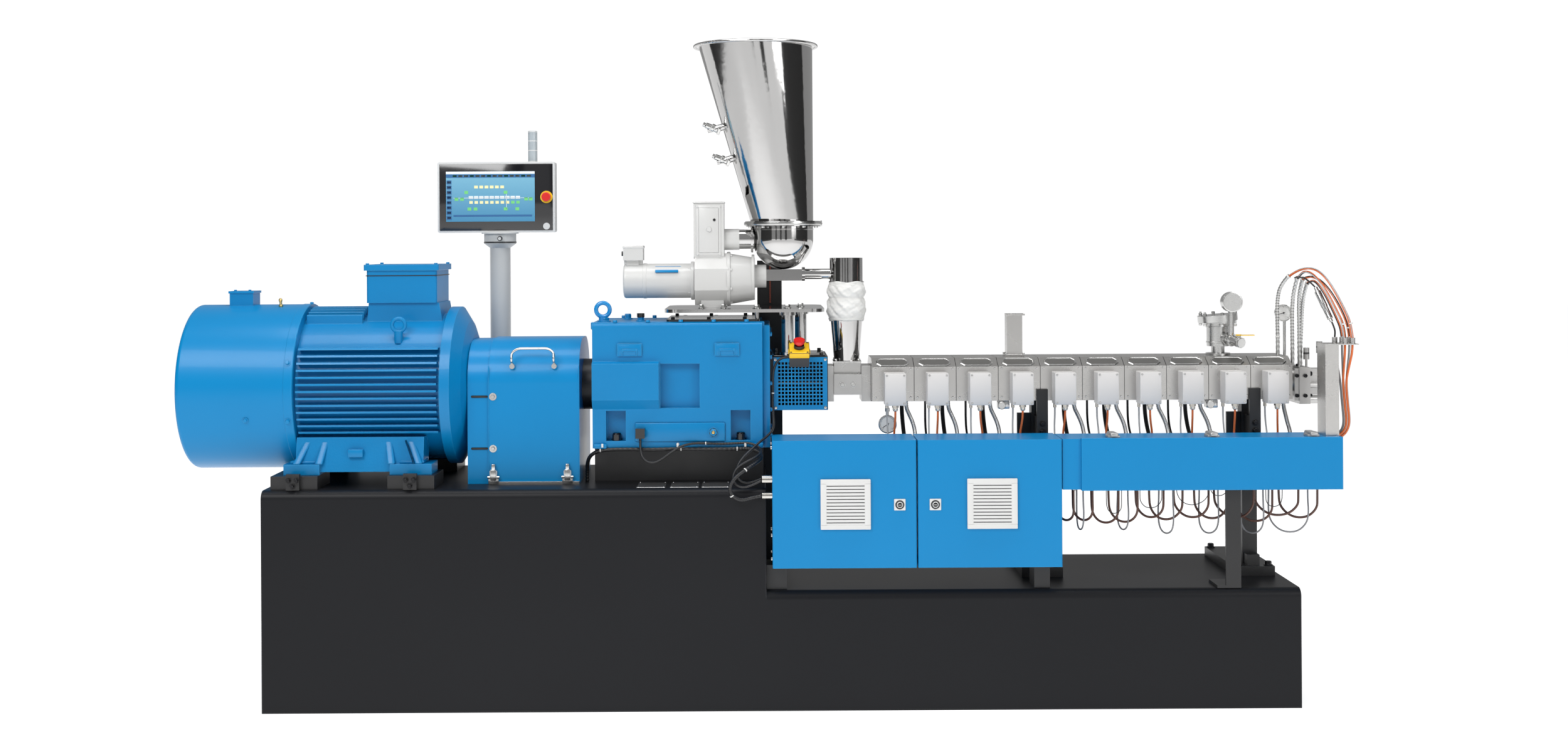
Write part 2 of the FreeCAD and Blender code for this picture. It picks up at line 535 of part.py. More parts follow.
def make_process():
    bottom, top = "axis_level - lantern_drop", "axis_level + lantern_rise"
    block = box("lantern_block", ("gearbox_right", "lantern_right"), ("-lantern_width / 2", "lantern_width / 2"),
                (bottom, top))
    hollow = box("lantern_hollow", ("gearbox_right + lantern_wall", "lantern_right - lantern_wall"),
                 ("-lantern_width / 2", "lantern_width / 2 - lantern_wall"),
                 (f"{bottom} + lantern_wall", f"{top} - lantern_wall"))
    holes = [rod(f"shaft_hole_{side}", "x", "shaft_radius + 4", ("gearbox_right", "lantern_right"),
                 (f"{sign}shaft_spacing / 2", "axis_level")) for side, sign in (("front", "-"), ("back", ""))]
    node("lantern_housing", cut("lantern", block, hollow, *holes))
    node("lantern_guard", box("guard_plate", ("gearbox_right + 11", "lantern_right - 2"),
                              ("-lantern_width / 2 - 2.5", "-lantern_width / 2"), (bottom, f"{top} - 2")))
    shafts = [rod(f"shaft_{side}", "x", "shaft_radius", ("gearbox_right", "lantern_right"),
                  (f"{sign}shaft_spacing / 2", "axis_level")) for side, sign in (("front", "-"), ("back", ""))]
    node("screw_shafts", together("shafts", *shafts))

    half = "barrel_size / 2"
    inlet = fuse("feed_body",
                 box("feed_inlet_flange", ("lantern_right", "feed_left"), (f"-{half}", half), ("barrel_bottom", "barrel_top")),
                 box("feed_centre", ("feed_left", "feed_right"), ("-70", "70"), ("axis_level - 33", "axis_level + 30")),
                 box("feed_outlet_flange", ("feed_right", "barrels_left"), (f"-{half}", half), ("barrel_bottom", "barrel_top")))
    throat = rod("feed_throat", "z", "feed_bore", ("axis_level - 20", "axis_level + 31"), ("chute_x", "0"))
    collar = cut("feed_collar", box("collar_block", ("feed_left + 1", "feed_right - 1"), ("-45", "45"),
                                    ("axis_level + 30", "funnel_bottom")),
                 rod("collar_bore", "z", "feed_bore", ("axis_level + 30", "funnel_bottom"), ("chute_x", "0")))
    node("feed_barrel", together("feed_parts", cut("feed_block_bored", inlet, throat), collar))

    sections, covers, boxes, glands = [], [], [], []
    back, shoulder, front = "cover_front", "axis_level + cover_shoulder", "-cover_front"
    for k in range(int(size("barrel_count"))):
        left = f"barrels_left + {k} * barrel_pitch"
        right = f"{left} + barrel_pitch"
        sections.append(box(f"barrel_{k + 1}", (f"{left} + barrel_gap / 2" if k else left, f"{right} - barrel_gap / 2"),
                            (f"-{half}", half), ("barrel_bottom", "barrel_top")))
        shell = prism(f"cover_blank_{k + 1}", "x", [
            (front, "cover_bottom"), (front, shoulder), ("-cover_top / 2", "cover_level"),
            ("cover_top / 2", "cover_level"), (back, shoulder), (back, "cover_bottom"),
            (half, "cover_bottom"), (half, "barrel_top"), (f"-{half}", "barrel_top"), (f"-{half}", "cover_bottom"),
        ], (f"{left} + cover_gap / 2", f"{right} - cover_gap / 2"))
        tools = []
        if k in (3, 8):
            tools.append(rod(f"vent_hole_{k + 1}", "z", 24, ("barrel_top", "cover_level + 1"),
                             (f"{left} + barrel_pitch / 2", "0")))
        covers.append(cut(f"cover_{k + 1}", shell, *tools) if tools else shell)
        middle = f"first_box + {k} * barrel_pitch"
        case = box(f"junction_blank_{k + 1}", (f"{middle} - box_width / 2", f"{middle} + box_width / 2"),
                   ("-cover_front - box_depth", "-cover_front"), ("box_bottom", "box_bottom + box_height"))
        boxes.append(rounded(f"junction_box_{k + 1}", case, 3, along("y")))
        gland_y = "-cover_front - box_depth + 13"
        glands.append(fuse(f"box_gland_{k + 1}",
                           rod(f"box_gland_nut_{k + 1}", "z", 9.5, ("box_bottom - 7", "box_bottom"), (middle, gland_y)),
                           rod(f"box_gland_cap_{k + 1}", "z", 7.5, ("box_bottom - 16", "box_bottom - 7"), (middle, gland_y))))
        glands.append(rod(f"sensor_plug_{k + 1}", "z", 5, ("cover_bottom - 22", "cover_bottom"), (f"{middle} - 22", "-cover_front + 8")))
    for k in range(6):
        for step_along in (0, 28.4, 56.7):
            glands.append(rod(f"trough_gland_{k}_{int(step_along)}", "z", "gland_radius",
                              ("trough_bottom - gland_length", "trough_bottom"),
                              (f"trough_left + 44.6 + {k} * gland_pitch + {step_along}", "-trough_back - 70")))
    for name, y, level in (("lower", "-base_width / 2 - 13", 641), ("upper_front", "-base_width / 2 - 13", 688),
                           ("upper_back", "-base_width / 2 + 15", 688)):
        glands.append(rod(f"cabinet_gland_{name}", "x", 9.7, ("left_cabinet_x - 30", "left_cabinet_x"), (y, level)))
    node("barrel_sections", together("sections", *sections))
    node("barrel_covers", together("covers", *covers))
    node("junction_boxes", together("junctions", *boxes))
    node("cable_glands", together("glands", *glands))


# ---------------------------------------------------------------- vents

def make_vents():
    stub_x = "barrels_left + 3.5 * barrel_pitch"
    stub = fuse("stub_body", rod("stub_root", "z", 22, ("barrel_top", "cover_level + 1"), (stub_x, "0")),
                box("stub_foot", (f"{stub_x} - 30", f"{stub_x} + 30"), ("-30", "30"), ("cover_level", "cover_level + 6")),
                box("stub_duct", (f"{stub_x} - 24", f"{stub_x} + 24"), ("-24", "24"), ("cover_level", "cover_level + 128")),
                box("stub_lid", (f"{stub_x} - 24", f"{stub_x} + 32"), ("-27", "27"), ("cover_level + 128", "cover_level + 133")))
    node("vent_stub", stub)

    vent_x = "barrels_left + 8.5 * barrel_pitch - 5"
    def disc(name, radius, low, high):
        return rod(name, "z", radius, (f"cover_level + {low}", f"cover_level + {high}"), (vent_x, "0"))
    root = rod("vent_root", "z", 18, ("barrel_top", "cover_level + 1"), (vent_x, "0"))
    column = [disc("vent_base", 38, 0, 6), disc("vent_neck", 21, 6, 28), disc("vent_dome", 34.5, 28, 112),
              disc("vent_flange", 58, 100, 110)]
    lid = doc.addObject("Part::Cylinder", "vent_lid")
    lid.Radius = 61
    lid.Height = 20
    lid.Placement = Placement(Vector(), Rotation(Vector(0, 1, 0), -5))
    bind(lid, "Placement.Base.x", vent_x)
    bind(lid, "Placement.Base.z", "cover_level + 106")
    tee = doc.addObject("Part::Cylinder", "vent_tee")
    tee.Radius = 15
    tee.Height = 112
    tee.Placement = Placement(Vector(), Rotation(Vector(0, 0, 1), Vector(0.42, -0.89, -0.16)))
    bind(tee, "Placement.Base.x", vent_x)
    bind(tee, "Placement.Base.z", "cover_level + 60")
    stem = rod("gauge_stem", "z", 9, ("cover_level + 46", "cover_level + 140"), (f"{vent_x} + 26", "-58"))
    gauge = rod("gauge_case", "y", 31, ("-78", "-48"), (f"{vent_x} + 26", "cover_level + 168"))
    valve = rod("valve_bonnet", "z", 7, ("cover_level + 46", "cover_level + 64"), (f"{vent_x} + 42", "-84"))
    node("vacuum_vent", fuse("vent_body", root, *column, lid, tee, stem, gauge, valve))

    lever = fuse("valve_lever", rod("lever_eye", "z", 9, ("cover_level + 64.3", "cover_level + 68"),
                                    (f"{vent_x} + 42", "-84")),
                 box("lever_blade", (f"{vent_x} + 42", f"{vent_x} + 90"), ("-90", "-78"),
                     ("cover_level + 64.3", "cover_level + 67")))
    node("vent_valve_lever", lever)


# ---------------------------------------------------------------- die head

def make_die():
    half = "die_width / 2"
    pieces = [
        rod("adaptor", "x", "adaptor_radius", ("barrels_right", "barrels_right + adaptor_length"), ("0", "axis_level")),
        box("clamping_plate", ("barrels_right + adaptor_length", "die_left"), (f"-{half} + 4", f"{half} - 4"),
            ("axis_level - 61", "axis_level + 39")),
        box("die_block", ("die_left", "die_right"), (f"-{half}", half), ("axis_level - 71", "axis_level + 43")),
        box("nozzle_block", ("die_right", "die_right + nozzle_length"), ("-35", "35"),
            ("axis_level - 44", "axis_level - 44 + nozzle_height")),
        rod("die_bolt", "x", 13, ("die_right", "die_right + 28"), ("-38", "axis_level - 58")),
        rod("tie_rod", "x", 8.5, ("die_left", "die_right + 54"), ("-46", "axis_level - 12")),
        box("lever_clamp", ("die_right", "die_right + 44"), ("-30", "10"), ("axis_level + 20", "axis_level + 37")),
    ]
    strand_holes = [rod(f"strand_hole_{k}", "x", 4, ("die_right + nozzle_length - 20", "die_right + nozzle_length + 1"),
                        (f"{y}", "axis_level - 12")) for k, y in enumerate((-22, 0, 22))]
    body = cut("die_bored", fuse("die_body", *pieces), *strand_holes)
    levers = []
    for name, x, y, high in (("long", "die_right + 40", -20, 121), ("short", "die_right + 7", 4, 100)):
        stalk = rod(f"{name}_lever_stalk", "z", 3.5, ("axis_level + 37", f"axis_level + {high} - 30"), (x, y))
        knob = rod(f"{name}_lever_knob", "z", 9.5, (f"axis_level + {high} - 36", f"axis_level + {high}"), (x, y))
        levers.append(fuse(f"{name}_lever", stalk, knob))
    node("die_head", together("die_parts", body, *levers))


# ---------------------------------------------------------------- cabinets and trough

def make_cabinets():
    for side, left in (("left", "left_cabinet_x"), ("right", "right_cabinet_x")):
        right = f"{left} + cabinet_length"
        shell = box(f"{side}_case", (left, right), ("-cabinet_front", "-cabinet_back"), ("cabinet_bottom", "cabinet_top"))
        inside = box(f"{side}_inside", (f"{left} + cabinet_wall", f"{right} - cabinet_wall"),
                     ("-cabinet_front", "-cabinet_back - cabinet_wall"),
                     ("cabinet_bottom + cabinet_wall", "cabinet_top - cabinet_wall"))
        node(f"{side}_cabinet", cut(f"{side}_shell", shell, inside))
        door = box(f"{side}_door_blank", (left, right), ("-door_front", "-door_back"), ("cabinet_bottom", "cabinet_top"))
        node(f"{side}_door", rounded(f"{side}_door_leaf", door, 4, along("z", lambda middle: middle.y < -size("door_back") - 1)))
        filter_x = f"{left} + 142" if side == "left" else f"{left} + 145"
        lock_x = f"{right} - 50" if side == "left" else f"{left} + 51"
        grille = box(f"{side}_filter", (filter_x, f"{filter_x} + filter_size"), ("-door_front - filter_depth", "-door_front"),
                     ("cabinet_bottom + 115", "cabinet_bottom + 115 + filter_size"))
        lock = fuse(f"{side}_lock",
                    box(f"{side}_lock_plate", (f"{lock_x} - lock_size / 2", f"{lock_x} + lock_size / 2"),
                        ("-door_front - 4", "-door_front"),
                        ("cabinet_bottom + 187 - lock_size / 2", "cabinet_bottom + 187 + lock_size / 2")),
                    rod(f"{side}_lock_barrel", "y", 9, ("-door_front - 9", "-door_front - 4"), (lock_x, "cabinet_bottom + 187")))
        node(f"{side}_door_fittings", together(f"{side}_fittings", grille, lock))

    posts = [box("cabinet_post_left", ("step + 1", "step + 62"), ("-base_width / 2 + 30", "-cabinet_back - 20"),
                 ("lower_height", "cabinet_bottom")),
             box("cabinet_post_right", ("cabinets_right - 75", "cabinets_right - 28"),
                 ("-base_width / 2 + 30", "-cabinet_back - 20"), ("lower_height", "cabinet_bottom"))]
    node("cabinet_supports", together("cabinet_posts", *posts))

    body = box("trough_block", ("trough_left", "trough_right"), ("-trough_front", "-trough_back"),
               ("trough_bottom", "cabinet_top"))
    node("wire_trough", body)
    lid = box("lid_pan", ("trough_left + lid_inset", "trough_right + 3"), ("-trough_front - lid_thickness", "-trough_front"),
              ("trough_bottom - 2", "cabinet_top + 2"))
    node("trough_lid", rounded("lid_round", lid, 3, along("x", lambda middle: middle.y < -size("trough_front") - 1)))
    clamps = []
    for k, x in enumerate(("trough_left + 155", "trough_left + 450", "trough_left + 746")):
        foot = box(f"clamp_foot_{k}", (f"{x} - 20", f"{x} + 16"), ("-trough_front + 2", "-trough_front + 46"),
                   ("cabinet_top", "cabinet_top + 9"))
        grip = box(f"clamp_grip_{k}", (f"{x} - 14", f"{x} + 10"), ("-trough_front - 8", "-trough_front + 60"),
                   ("cabinet_top + 9", "cabinet_top + 20"))
        clamps.append(fuse(f"clamp_{k}", foot, grip))
    node("trough_clamps", together("clamps", *clamps))

    riser_x = "trough_right + 2"
    channel = box("riser_web", (f"{riser_x} - riser_width", riser_x), ("-trough_back - 120", "-trough_back - 120 + riser_depth"),
                  ("cabinet_top", "cabinet_top + riser_height"))
    channel_inside = box("riser_inside", (f"{riser_x} - riser_width + riser_wall", riser_x),
                         ("-trough_back - 120 + riser_wall", "-trough_back - 120 + riser_depth - riser_wall"),
                         ("cabinet_top", "cabinet_top + riser_height"))
    shelf = box("riser_shelf_plate", (f"{riser_x} - riser_width", f"{riser_x} - riser_width + riser_shelf"),
                ("-trough_back - 120", "-trough_back - 120 + riser_depth"),
                ("cabinet_top + riser_height", "cabinet_top + riser_height + riser_wall"))
    shelf_glands = [rod(f"riser_gland_{k}", "z", 8, ("cabinet_top + riser_height + riser_wall", "cabinet_top + riser_height + 20"),
                        (f"{riser_x} + {x}", f"-trough_back - {y}")) for k, (x, y) in enumerate(((6, 66), (24, 104), (28, 66), (46, 104), (50, 66)))]
    node("cable_riser", fuse("riser", cut("riser_channel", channel, channel_inside), shelf, *shelf_glands))


# ---------------------------------------------------------------- supports

def make_supports():
    pieces = []
    for k, x in enumerate(("support_one", "support_two")):
        plate = box(f"support_plate_{k}", (f"{x} - support_width / 2", f"{x} + support_width / 2"), ("-108", "241"),
                    ("lower_height", "lower_height + support_plate"))
        block = box(f"support_block_{k}", (f"{x} - 19", f"{x} + 19"), ("-98", "-58"),
                    ("lower_height + support_plate", "lower_height + support_plate + 34"))
        post = box(f"support_post_{k}", (f"{x} - support_post / 2", f"{x} + support_post / 2"), ("-58", "-12"),
                   ("lower_height + support_plate", "barrel_bottom"))
        web = box(f"support_web_{k}", (f"{x} - 65", f"{x} - support_post / 2"), ("-40", "-30"),
                  ("trough_bottom", "axis_level - 95"))
        arm = box(f"support_arm_{k}", (f"{x} - 17", f"{x} + 17"), ("-126", "-58"), ("axis_level - 165", "axis_level - 100"))
        jaw = box(f"support_jaw_{k}", (f"{x} - 17", f"{x} + 17"), ("-126", "-115.3"), ("axis_level - 100", "axis_level - 15"))
        pieces.append(fuse(f"barrel_support_{k}", plate, block, post, web, arm, jaw))
    leg_x = "trough_right - 333"
    leg = fuse("trough_leg",
               box("leg_front", (leg_x, f"{leg_x} + leg_width"), ("-288", "-280"), ("lower_height", "trough_bottom")),
               box("leg_side", (f"{leg_x} + leg_width - 8", f"{leg_x} + leg_width"), ("-280", "-246"),
                   ("lower_height", "trough_bottom")),
               box("leg_foot", (f"{leg_x} - 26", f"{leg_x} + leg_width"), ("-288", "-190"), ("lower_height", "lower_height + 8")))
    node("barrel_supports", together("support_set", *pieces, leg))


# ---------------------------------------------------------------- feeder

def make_feeder():
    outer_top = "platform_height - 16"
    outer = box("column_outer", ("column_left", "column_left + column_size"), ("column_front", "column_front + column_size"),
                ("lower_height", outer_top))
    inner = box("column_inside", ("column_left + 17", "column_left + 17 + column_inner"),
                ("column_front + 8", "column_front + 8 + column_inner"), (outer_top, "screw_height + 40"))
    node("feeder_column", fuse("column", outer, inner))

    left, right = "chute_x - 74 - platform_length", "chute_x - 74"
    plate = rounded("platform_round", box("platform_blank", (left, right), ("-170", "-170 + platform_width"),
                                          ("platform_height", "platform_top")), 40, along("z"))
    opening = box("platform_cutout", ("column_left + 14", "column_left + 20 + column_inner"),
                  ("column_front + 5", "column_front + 200"), ("platform_height - 1", "platform_top + 1"))
    plate = cut("platform_plate", plate, opening)
    legs = [
        rod("platform_leg_front", "z", 19, ("axis_level + lantern_rise", "platform_height"), ("27", "-88")),
        rod("platform_leg_back", "z", 19, ("axis_level + lantern_rise", "platform_height"), ("70", "20")),
        rod("platform_rod", "z", 6, ("gearbox_top + 8", "platform_height"), ("gearbox_face - 16", "-100")),
    ]
    node("feeder_platform", fuse("platform", plate, *legs))

    drum_x = "bowl_x - 276"
    drum = prism("drum_case", "x", [
        (f"drum_radius * {math.cos(math.radians(22.5 + 45 * k)):.5f}",
         f"screw_height - 14 + drum_radius * {math.sin(math.radians(22.5 + 45 * k)):.5f}") for k in range(8)
    ], (drum_x, f"{drum_x} + 106"))
    nose = cone("drum_nose", "x", ("80", "66"), (f"{drum_x} + 106", f"{drum_x} + 187"), ("0", "screw_height - 14"))
    neck = rod("drum_neck", "x", 36, (f"{drum_x} + 187", f"{drum_x} + 223"), ("0", "screw_height - 6"))
    foot = box("drum_foot", (f"{drum_x} + 20", f"{drum_x} + 90"), ("-50", "50"), ("platform_top", "screw_height - 80"))
    upper = rounded("upper_gear_round", box("upper_gear", ("bowl_x - 279", "bowl_x - 184"), ("-48", "48"),
                    ("screw_height + 50", "screw_height + 228")), 14, along("x"))
    agitator = rod("agitator_sleeve", "x", 33, ("bowl_x - 184", "bowl_x - 137"), ("0", "bowl_height - 40"))
    node("feeder_gearbox", fuse("feeder_gears", drum, nose, neck, foot, upper, agitator))

    motor = rod("feeder_motor_can", "x", "feeder_motor_radius", (f"{drum_x} - feeder_motor_length", drum_x),
                ("0", "screw_height - 19"))
    motor = rounded("feeder_motor_round", motor, 8, lambda edge: edge.BoundBox.XMax < size("bowl_x") - 276 - size("feeder_motor_length") + 1)
    motor_neck = box("motor_box_neck", (f"{drum_x} - 215", f"{drum_x} - 176"), ("-18", "18"),
                     ("screw_height + 20", "screw_height + 46"))
    motor_box = box("motor_box", (f"{drum_x} - 224", f"{drum_x} - 162"), ("-32", "32"), ("screw_height + 46", "screw_height + 92"))
    node("feeder_motor", fuse("feeder_drive", motor, motor_neck, motor_box))

    make_hopper()
    make_chute()


def make_hopper():
    foot, mouth = size("bowl_height") + 16, size("hopper_height")
    lean, wall = size("hopper_lean"), size("hopper_wall")
    x = size("bowl_x") - 3

    def skin(inset):
        low = Part.Wire([Part.Circle(Vector(x, 0, foot), Vector(0, 0, 1), size("hopper_bottom") - inset).toShape()])
        high = Part.Wire([Part.Circle(Vector(x - lean, 0, mouth), Vector(0, 0, 1), size("hopper_top") - inset).toShape()])
        return Part.makeLoft([low, high], True)
    cone_shell = skin(0).cut(skin(wall))
    rim = Part.makeTorus(size("hopper_top") + 12, 5, Vector(x - lean, 0, mouth), Vector(0, 0, 1))
    lip_outer = Part.makeCylinder(size("hopper_top") + 12, 3, Vector(x - lean, 0, mouth - 1.5))
    lip = lip_outer.cut(Part.makeCylinder(size("hopper_top") - wall - 0.5, 5, Vector(x - lean, 0, mouth - 2)))
    flange = Part.makeCylinder(size("hopper_bottom") + 22, 8, Vector(x + 5, 0, foot - 8))
    flange = flange.cut(Part.makeCylinder(size("hopper_bottom") - wall, 10, Vector(x, 0, foot - 9)))
    hopper = cone_shell.fuse([rim, lip, flange]).removeSplitter()
    for fraction in (0.54, 0.36):
        level = foot + (mouth - foot) * fraction
        edge_x = x - lean * fraction - (size("hopper_bottom") + (size("hopper_top") - size("hopper_bottom")) * fraction)
        probe = Part.makeCylinder(11, 34, Vector(edge_x - 24, -20, level - 8), Vector(0.96, 0, 0.28))
        thin = Part.makeCylinder(6, 26, Vector(edge_x - 46, -20, level - 14), Vector(0.96, 0, 0.28))
        hopper = hopper.fuse([probe.fuse(thin).cut(skin(1))])
    item = doc.addObject("Part::Feature", "hopper_shell")
    item.Shape = hopper
    item.Placement = Placement()
    node("feed_hopper", item)


def make_chute():
    make_bowl()
    housing = box("screw_housing", ("bowl_x - 53", "bowl_x + 59"), ("-26", "26"), ("screw_height - 20", "screw_height + 15"))
    clamp = rod("tube_clamp", "x", 22, ("bowl_x + 59", "bowl_x + 68"), ("0", "screw_height"))
    pipe = rod("screw_tube", "x", 16.5, ("bowl_x + 68", "chute_x"), ("0", "screw_height"))
    outlet = rod("outlet_pipe", "z", "chute_radius", ("screw_height - 32", "screw_height + 50"), ("chute_x", "0"))
    outlet_bore = rod("outlet_bore", "z", "chute_bore", ("screw_height - 33", "screw_height + 51"), ("chute_x", "0"))
    body = cut("tube_body", fuse("tube_outer", housing, clamp, pipe, outlet), outlet_bore)
    node("feed_tube", body)

    seat = "chute_radius + sleeve_gap"
    sleeve = cut("sleeve_ring",
                 rod("sleeve_blank", "z", 64, ("funnel_top - 20", "screw_height - 24"), ("chute_x", "0")),
                 rod("sleeve_bore", "z", seat, ("funnel_top - 21", "screw_height - 23"), ("chute_x", "0")))
    node("cloth_sleeve", sleeve)

    outer = cone("funnel_outer", "z", ("39", "chute_radius"), ("funnel_bottom", "funnel_top"), ("chute_x", "0"))
    inner = cone("funnel_inner", "z", ("37", "chute_bore"), ("funnel_bottom", "funnel_top"), ("chute_x", "0"))
    foot_plate = cut("funnel_foot", box("funnel_plate", ("chute_x - 44", "chute_x + 44"), ("-44", "44"),
                                        ("funnel_bottom", "funnel_bottom + 4")),
                     rod("funnel_hole", "z", 37.3, ("funnel_bottom - 1", "funnel_bottom + 5"), ("chute_x", "0")))
    node("feed_funnel", fuse("funnel", cut("funnel_cone", outer, inner), foot_plate))


def make_bowl():
    radius, wall = size("bowl_radius"), size("bowl_wall")
    top, low = size("bowl_height") + 8, size("screw_height") + 15.3
    x = size("bowl_x")
    centre = low + radius

    def cup(inset):
        straight = Part.makeCylinder(radius - inset, top - centre, Vector(x, 0, centre))
        ball = Part.makeSphere(radius - inset, Vector(x, 0, centre), Vector(0, 0, 1), -90, 0, 360)
        return straight.fuse(ball).removeSplitter()
    shell = cup(0).cut(cup(wall).fuse(Part.makeCylinder(radius - wall, 5, Vector(x, 0, top - 1))))
    flange = Part.makeCylinder(radius + 22, 8, Vector(x + 2, 0, top - 8))
    flange = flange.cut(Part.makeCylinder(radius - wall, 10, Vector(x, 0, top - 9)))
    drive = Part.makeCylinder(31, 46, Vector(x - radius - 42, 0, size("bowl_height") - 40), Vector(1, 0, 0)).cut(cup(1))
    item = doc.addObject("Part::Feature", "bowl_shell")
    item.Shape = shell.fuse([flange, drive]).removeSplitter()
    item.Placement = Placement()
    node("hopper_bowl", item)


# ---------------------------------------------------------------- emergency stop and control panel

def make_controls():
    tilt = Rotation(Vector(1, 0, 0), 26)
    middle = Vector(60, -size("lantern_width") / 2 - 40, size("axis_level") + size("lantern_rise") - 7)

    def tilted(name, kind, offset, **values):
        item = doc.addObject(kind, name)
        for key, value in values.items():
            setattr(item, key, value)
        item.Placement = Placement(middle + tilt.multVec(Vector(*offset)), tilt)
        return item
    base = tilted("stop_base", "Part::Box", (-30, -34, -6), Length=60, Width=68, Height=30)
    lid = tilted("stop_lid", "Part::Box", (-31, -35, 24), Length=62, Width=70, Height=18)
    collar = tilted("stop_collar", "Part::Cylinder", (0, 0, 42), Radius=15, Height=10)
    bore = tilted("stop_bore", "Part::Cylinder", (0, 0, 34), Radius=10.3, Height=19)
    bracket = box("stop_bracket", (48, 72), ("-lantern_width / 2 - 22", "-lantern_width / 2 + 35"),
                  ("axis_level + lantern_rise", "axis_level + lantern_rise + 4"))
    node("estop_box", cut("estop", fuse("estop_case", base, lid, collar, bracket), bore))
    stem = tilted("stop_stem", "Part::Cylinder", (0, 0, 42), Radius=10, Height=18)
    head = tilted("stop_head", "Part::Cylinder", (0, 0, 60), Radius=17, Height=9)
    node("estop_button", fuse("button", stem, head))

    post = rod("panel_post", "z", "post_radius", ("upper_height", "post_top"), ("post_x", "post_y"))
    foot = rod("panel_foot", "z", "post_radius + 22", ("upper_height", "upper_height + 10"), ("post_x", "post_y"))
    neck = cone("panel_neck", "z", ("post_radius", "52"), ("post_top", "post_top + 14"), ("post_x", "post_y"))
    drum = rod("panel_drum", "z", 52, ("post_top + 14", "post_top + panel_drop - 8"), ("post_x", "post_y"))
    lever = rod("panel_clamp", "y", 5, ("post_y - 82", "post_y - 50"), ("post_x + 10", "post_top + 30"))
    node("control_column", fuse("column_post", post, foot, neck, drum, lever))

    disc = rod("panel_disc", "z", 60, ("post_top + panel_drop - 7.7", "panel_bottom"), ("post_x", "post_y"))
    front = "post_y - panel_depth / 2"
    case = box("panel_case", ("panel_left", "panel_left + panel_width"), (front, "post_y + panel_depth / 2"),
               ("panel_bottom", "panel_top"))
    case = rounded("panel_case_round", case, 6, along("y"))
    stop = rod("panel_stop", "y", 14, (f"{front} - 16", front), ("panel_left + 355", "panel_bottom + 115"))
    key = rod("panel_key", "y", 11, (f"{front} - 4", front), ("panel_left + 355", "panel_bottom + 20"))
    node("control_panel", fuse("panel", disc, case, stop, key))
    light = rod("light_stack", "z", "light_radius", ("panel_top", "panel_top + light_height"), ("panel_left + 307", "post_y"))
    node("signal_light", light)


# ---------------------------------------------------------------- cords and hoses
# Each route is a list of points; scene.py repeats them in metres.

LOOM_ROUTES = {
    "motor_lead": (12, [
        (-592, -118, 660), (-592, -118, 688), (-590, -138, 720), (-577, -166, 747), (-545, -186, 764),
        (-480, -191, 767), (-390, -190, 765), (-300, -191, 767), (-210, -190, 765), (-130, -190, 766),
        (-88, -194, 768), (-60, -212, 758), (-56, -246, 744), (-74, -284, 734), (-104, -314, 718),
        (-136, -328, 696), (-152, -332, 669), (-144, -332, 644), (-118, -326, 628), (-85, -315, 636),
        (-56, -313, 641)]),
    "sensor_lead": (8, [
        (-423, -196, 800), (-423, -196, 786), (-422, -205, 766), (-417, -213, 746), (-402, -217, 730),
        (-378, -217, 727),
        (-354, -212, 740), (-330, -208, 758), (-302, -203, 775), (-268, -196, 784), (-225, -191, 783),
        (-178, -190, 781), (-130, -191, 783), (-92, -197, 785), (-62, -216, 774), (-56, -250, 761),
        (-74, -282, 751), (-102, -300, 740), (-129, -309, 724), (-141, -313, 703), (-138, -316, 680),
        (-118, -318, 665), (-86, -316, 671), (-57, -313, 686)]),
    "stop_lead": (8, [
        (30, -169, 1041), (13, -169, 1041), (-4, -166, 1032), (-15, -157, 1012), (-20, -149, 986),
        (-20, -143, 948), (-22, -142, 900), (-20, -146, 862), (-18, -160, 836), (-24, -180, 817),
        (-42, -204, 802), (-60, -232, 792), (-80, -258, 777), (-102, -278, 760), (-122, -291, 738),
        (-133, -298, 713), (-127, -303, 690), (-106, -301, 676), (-80, -292, 679), (-57, -285, 687)]),
}

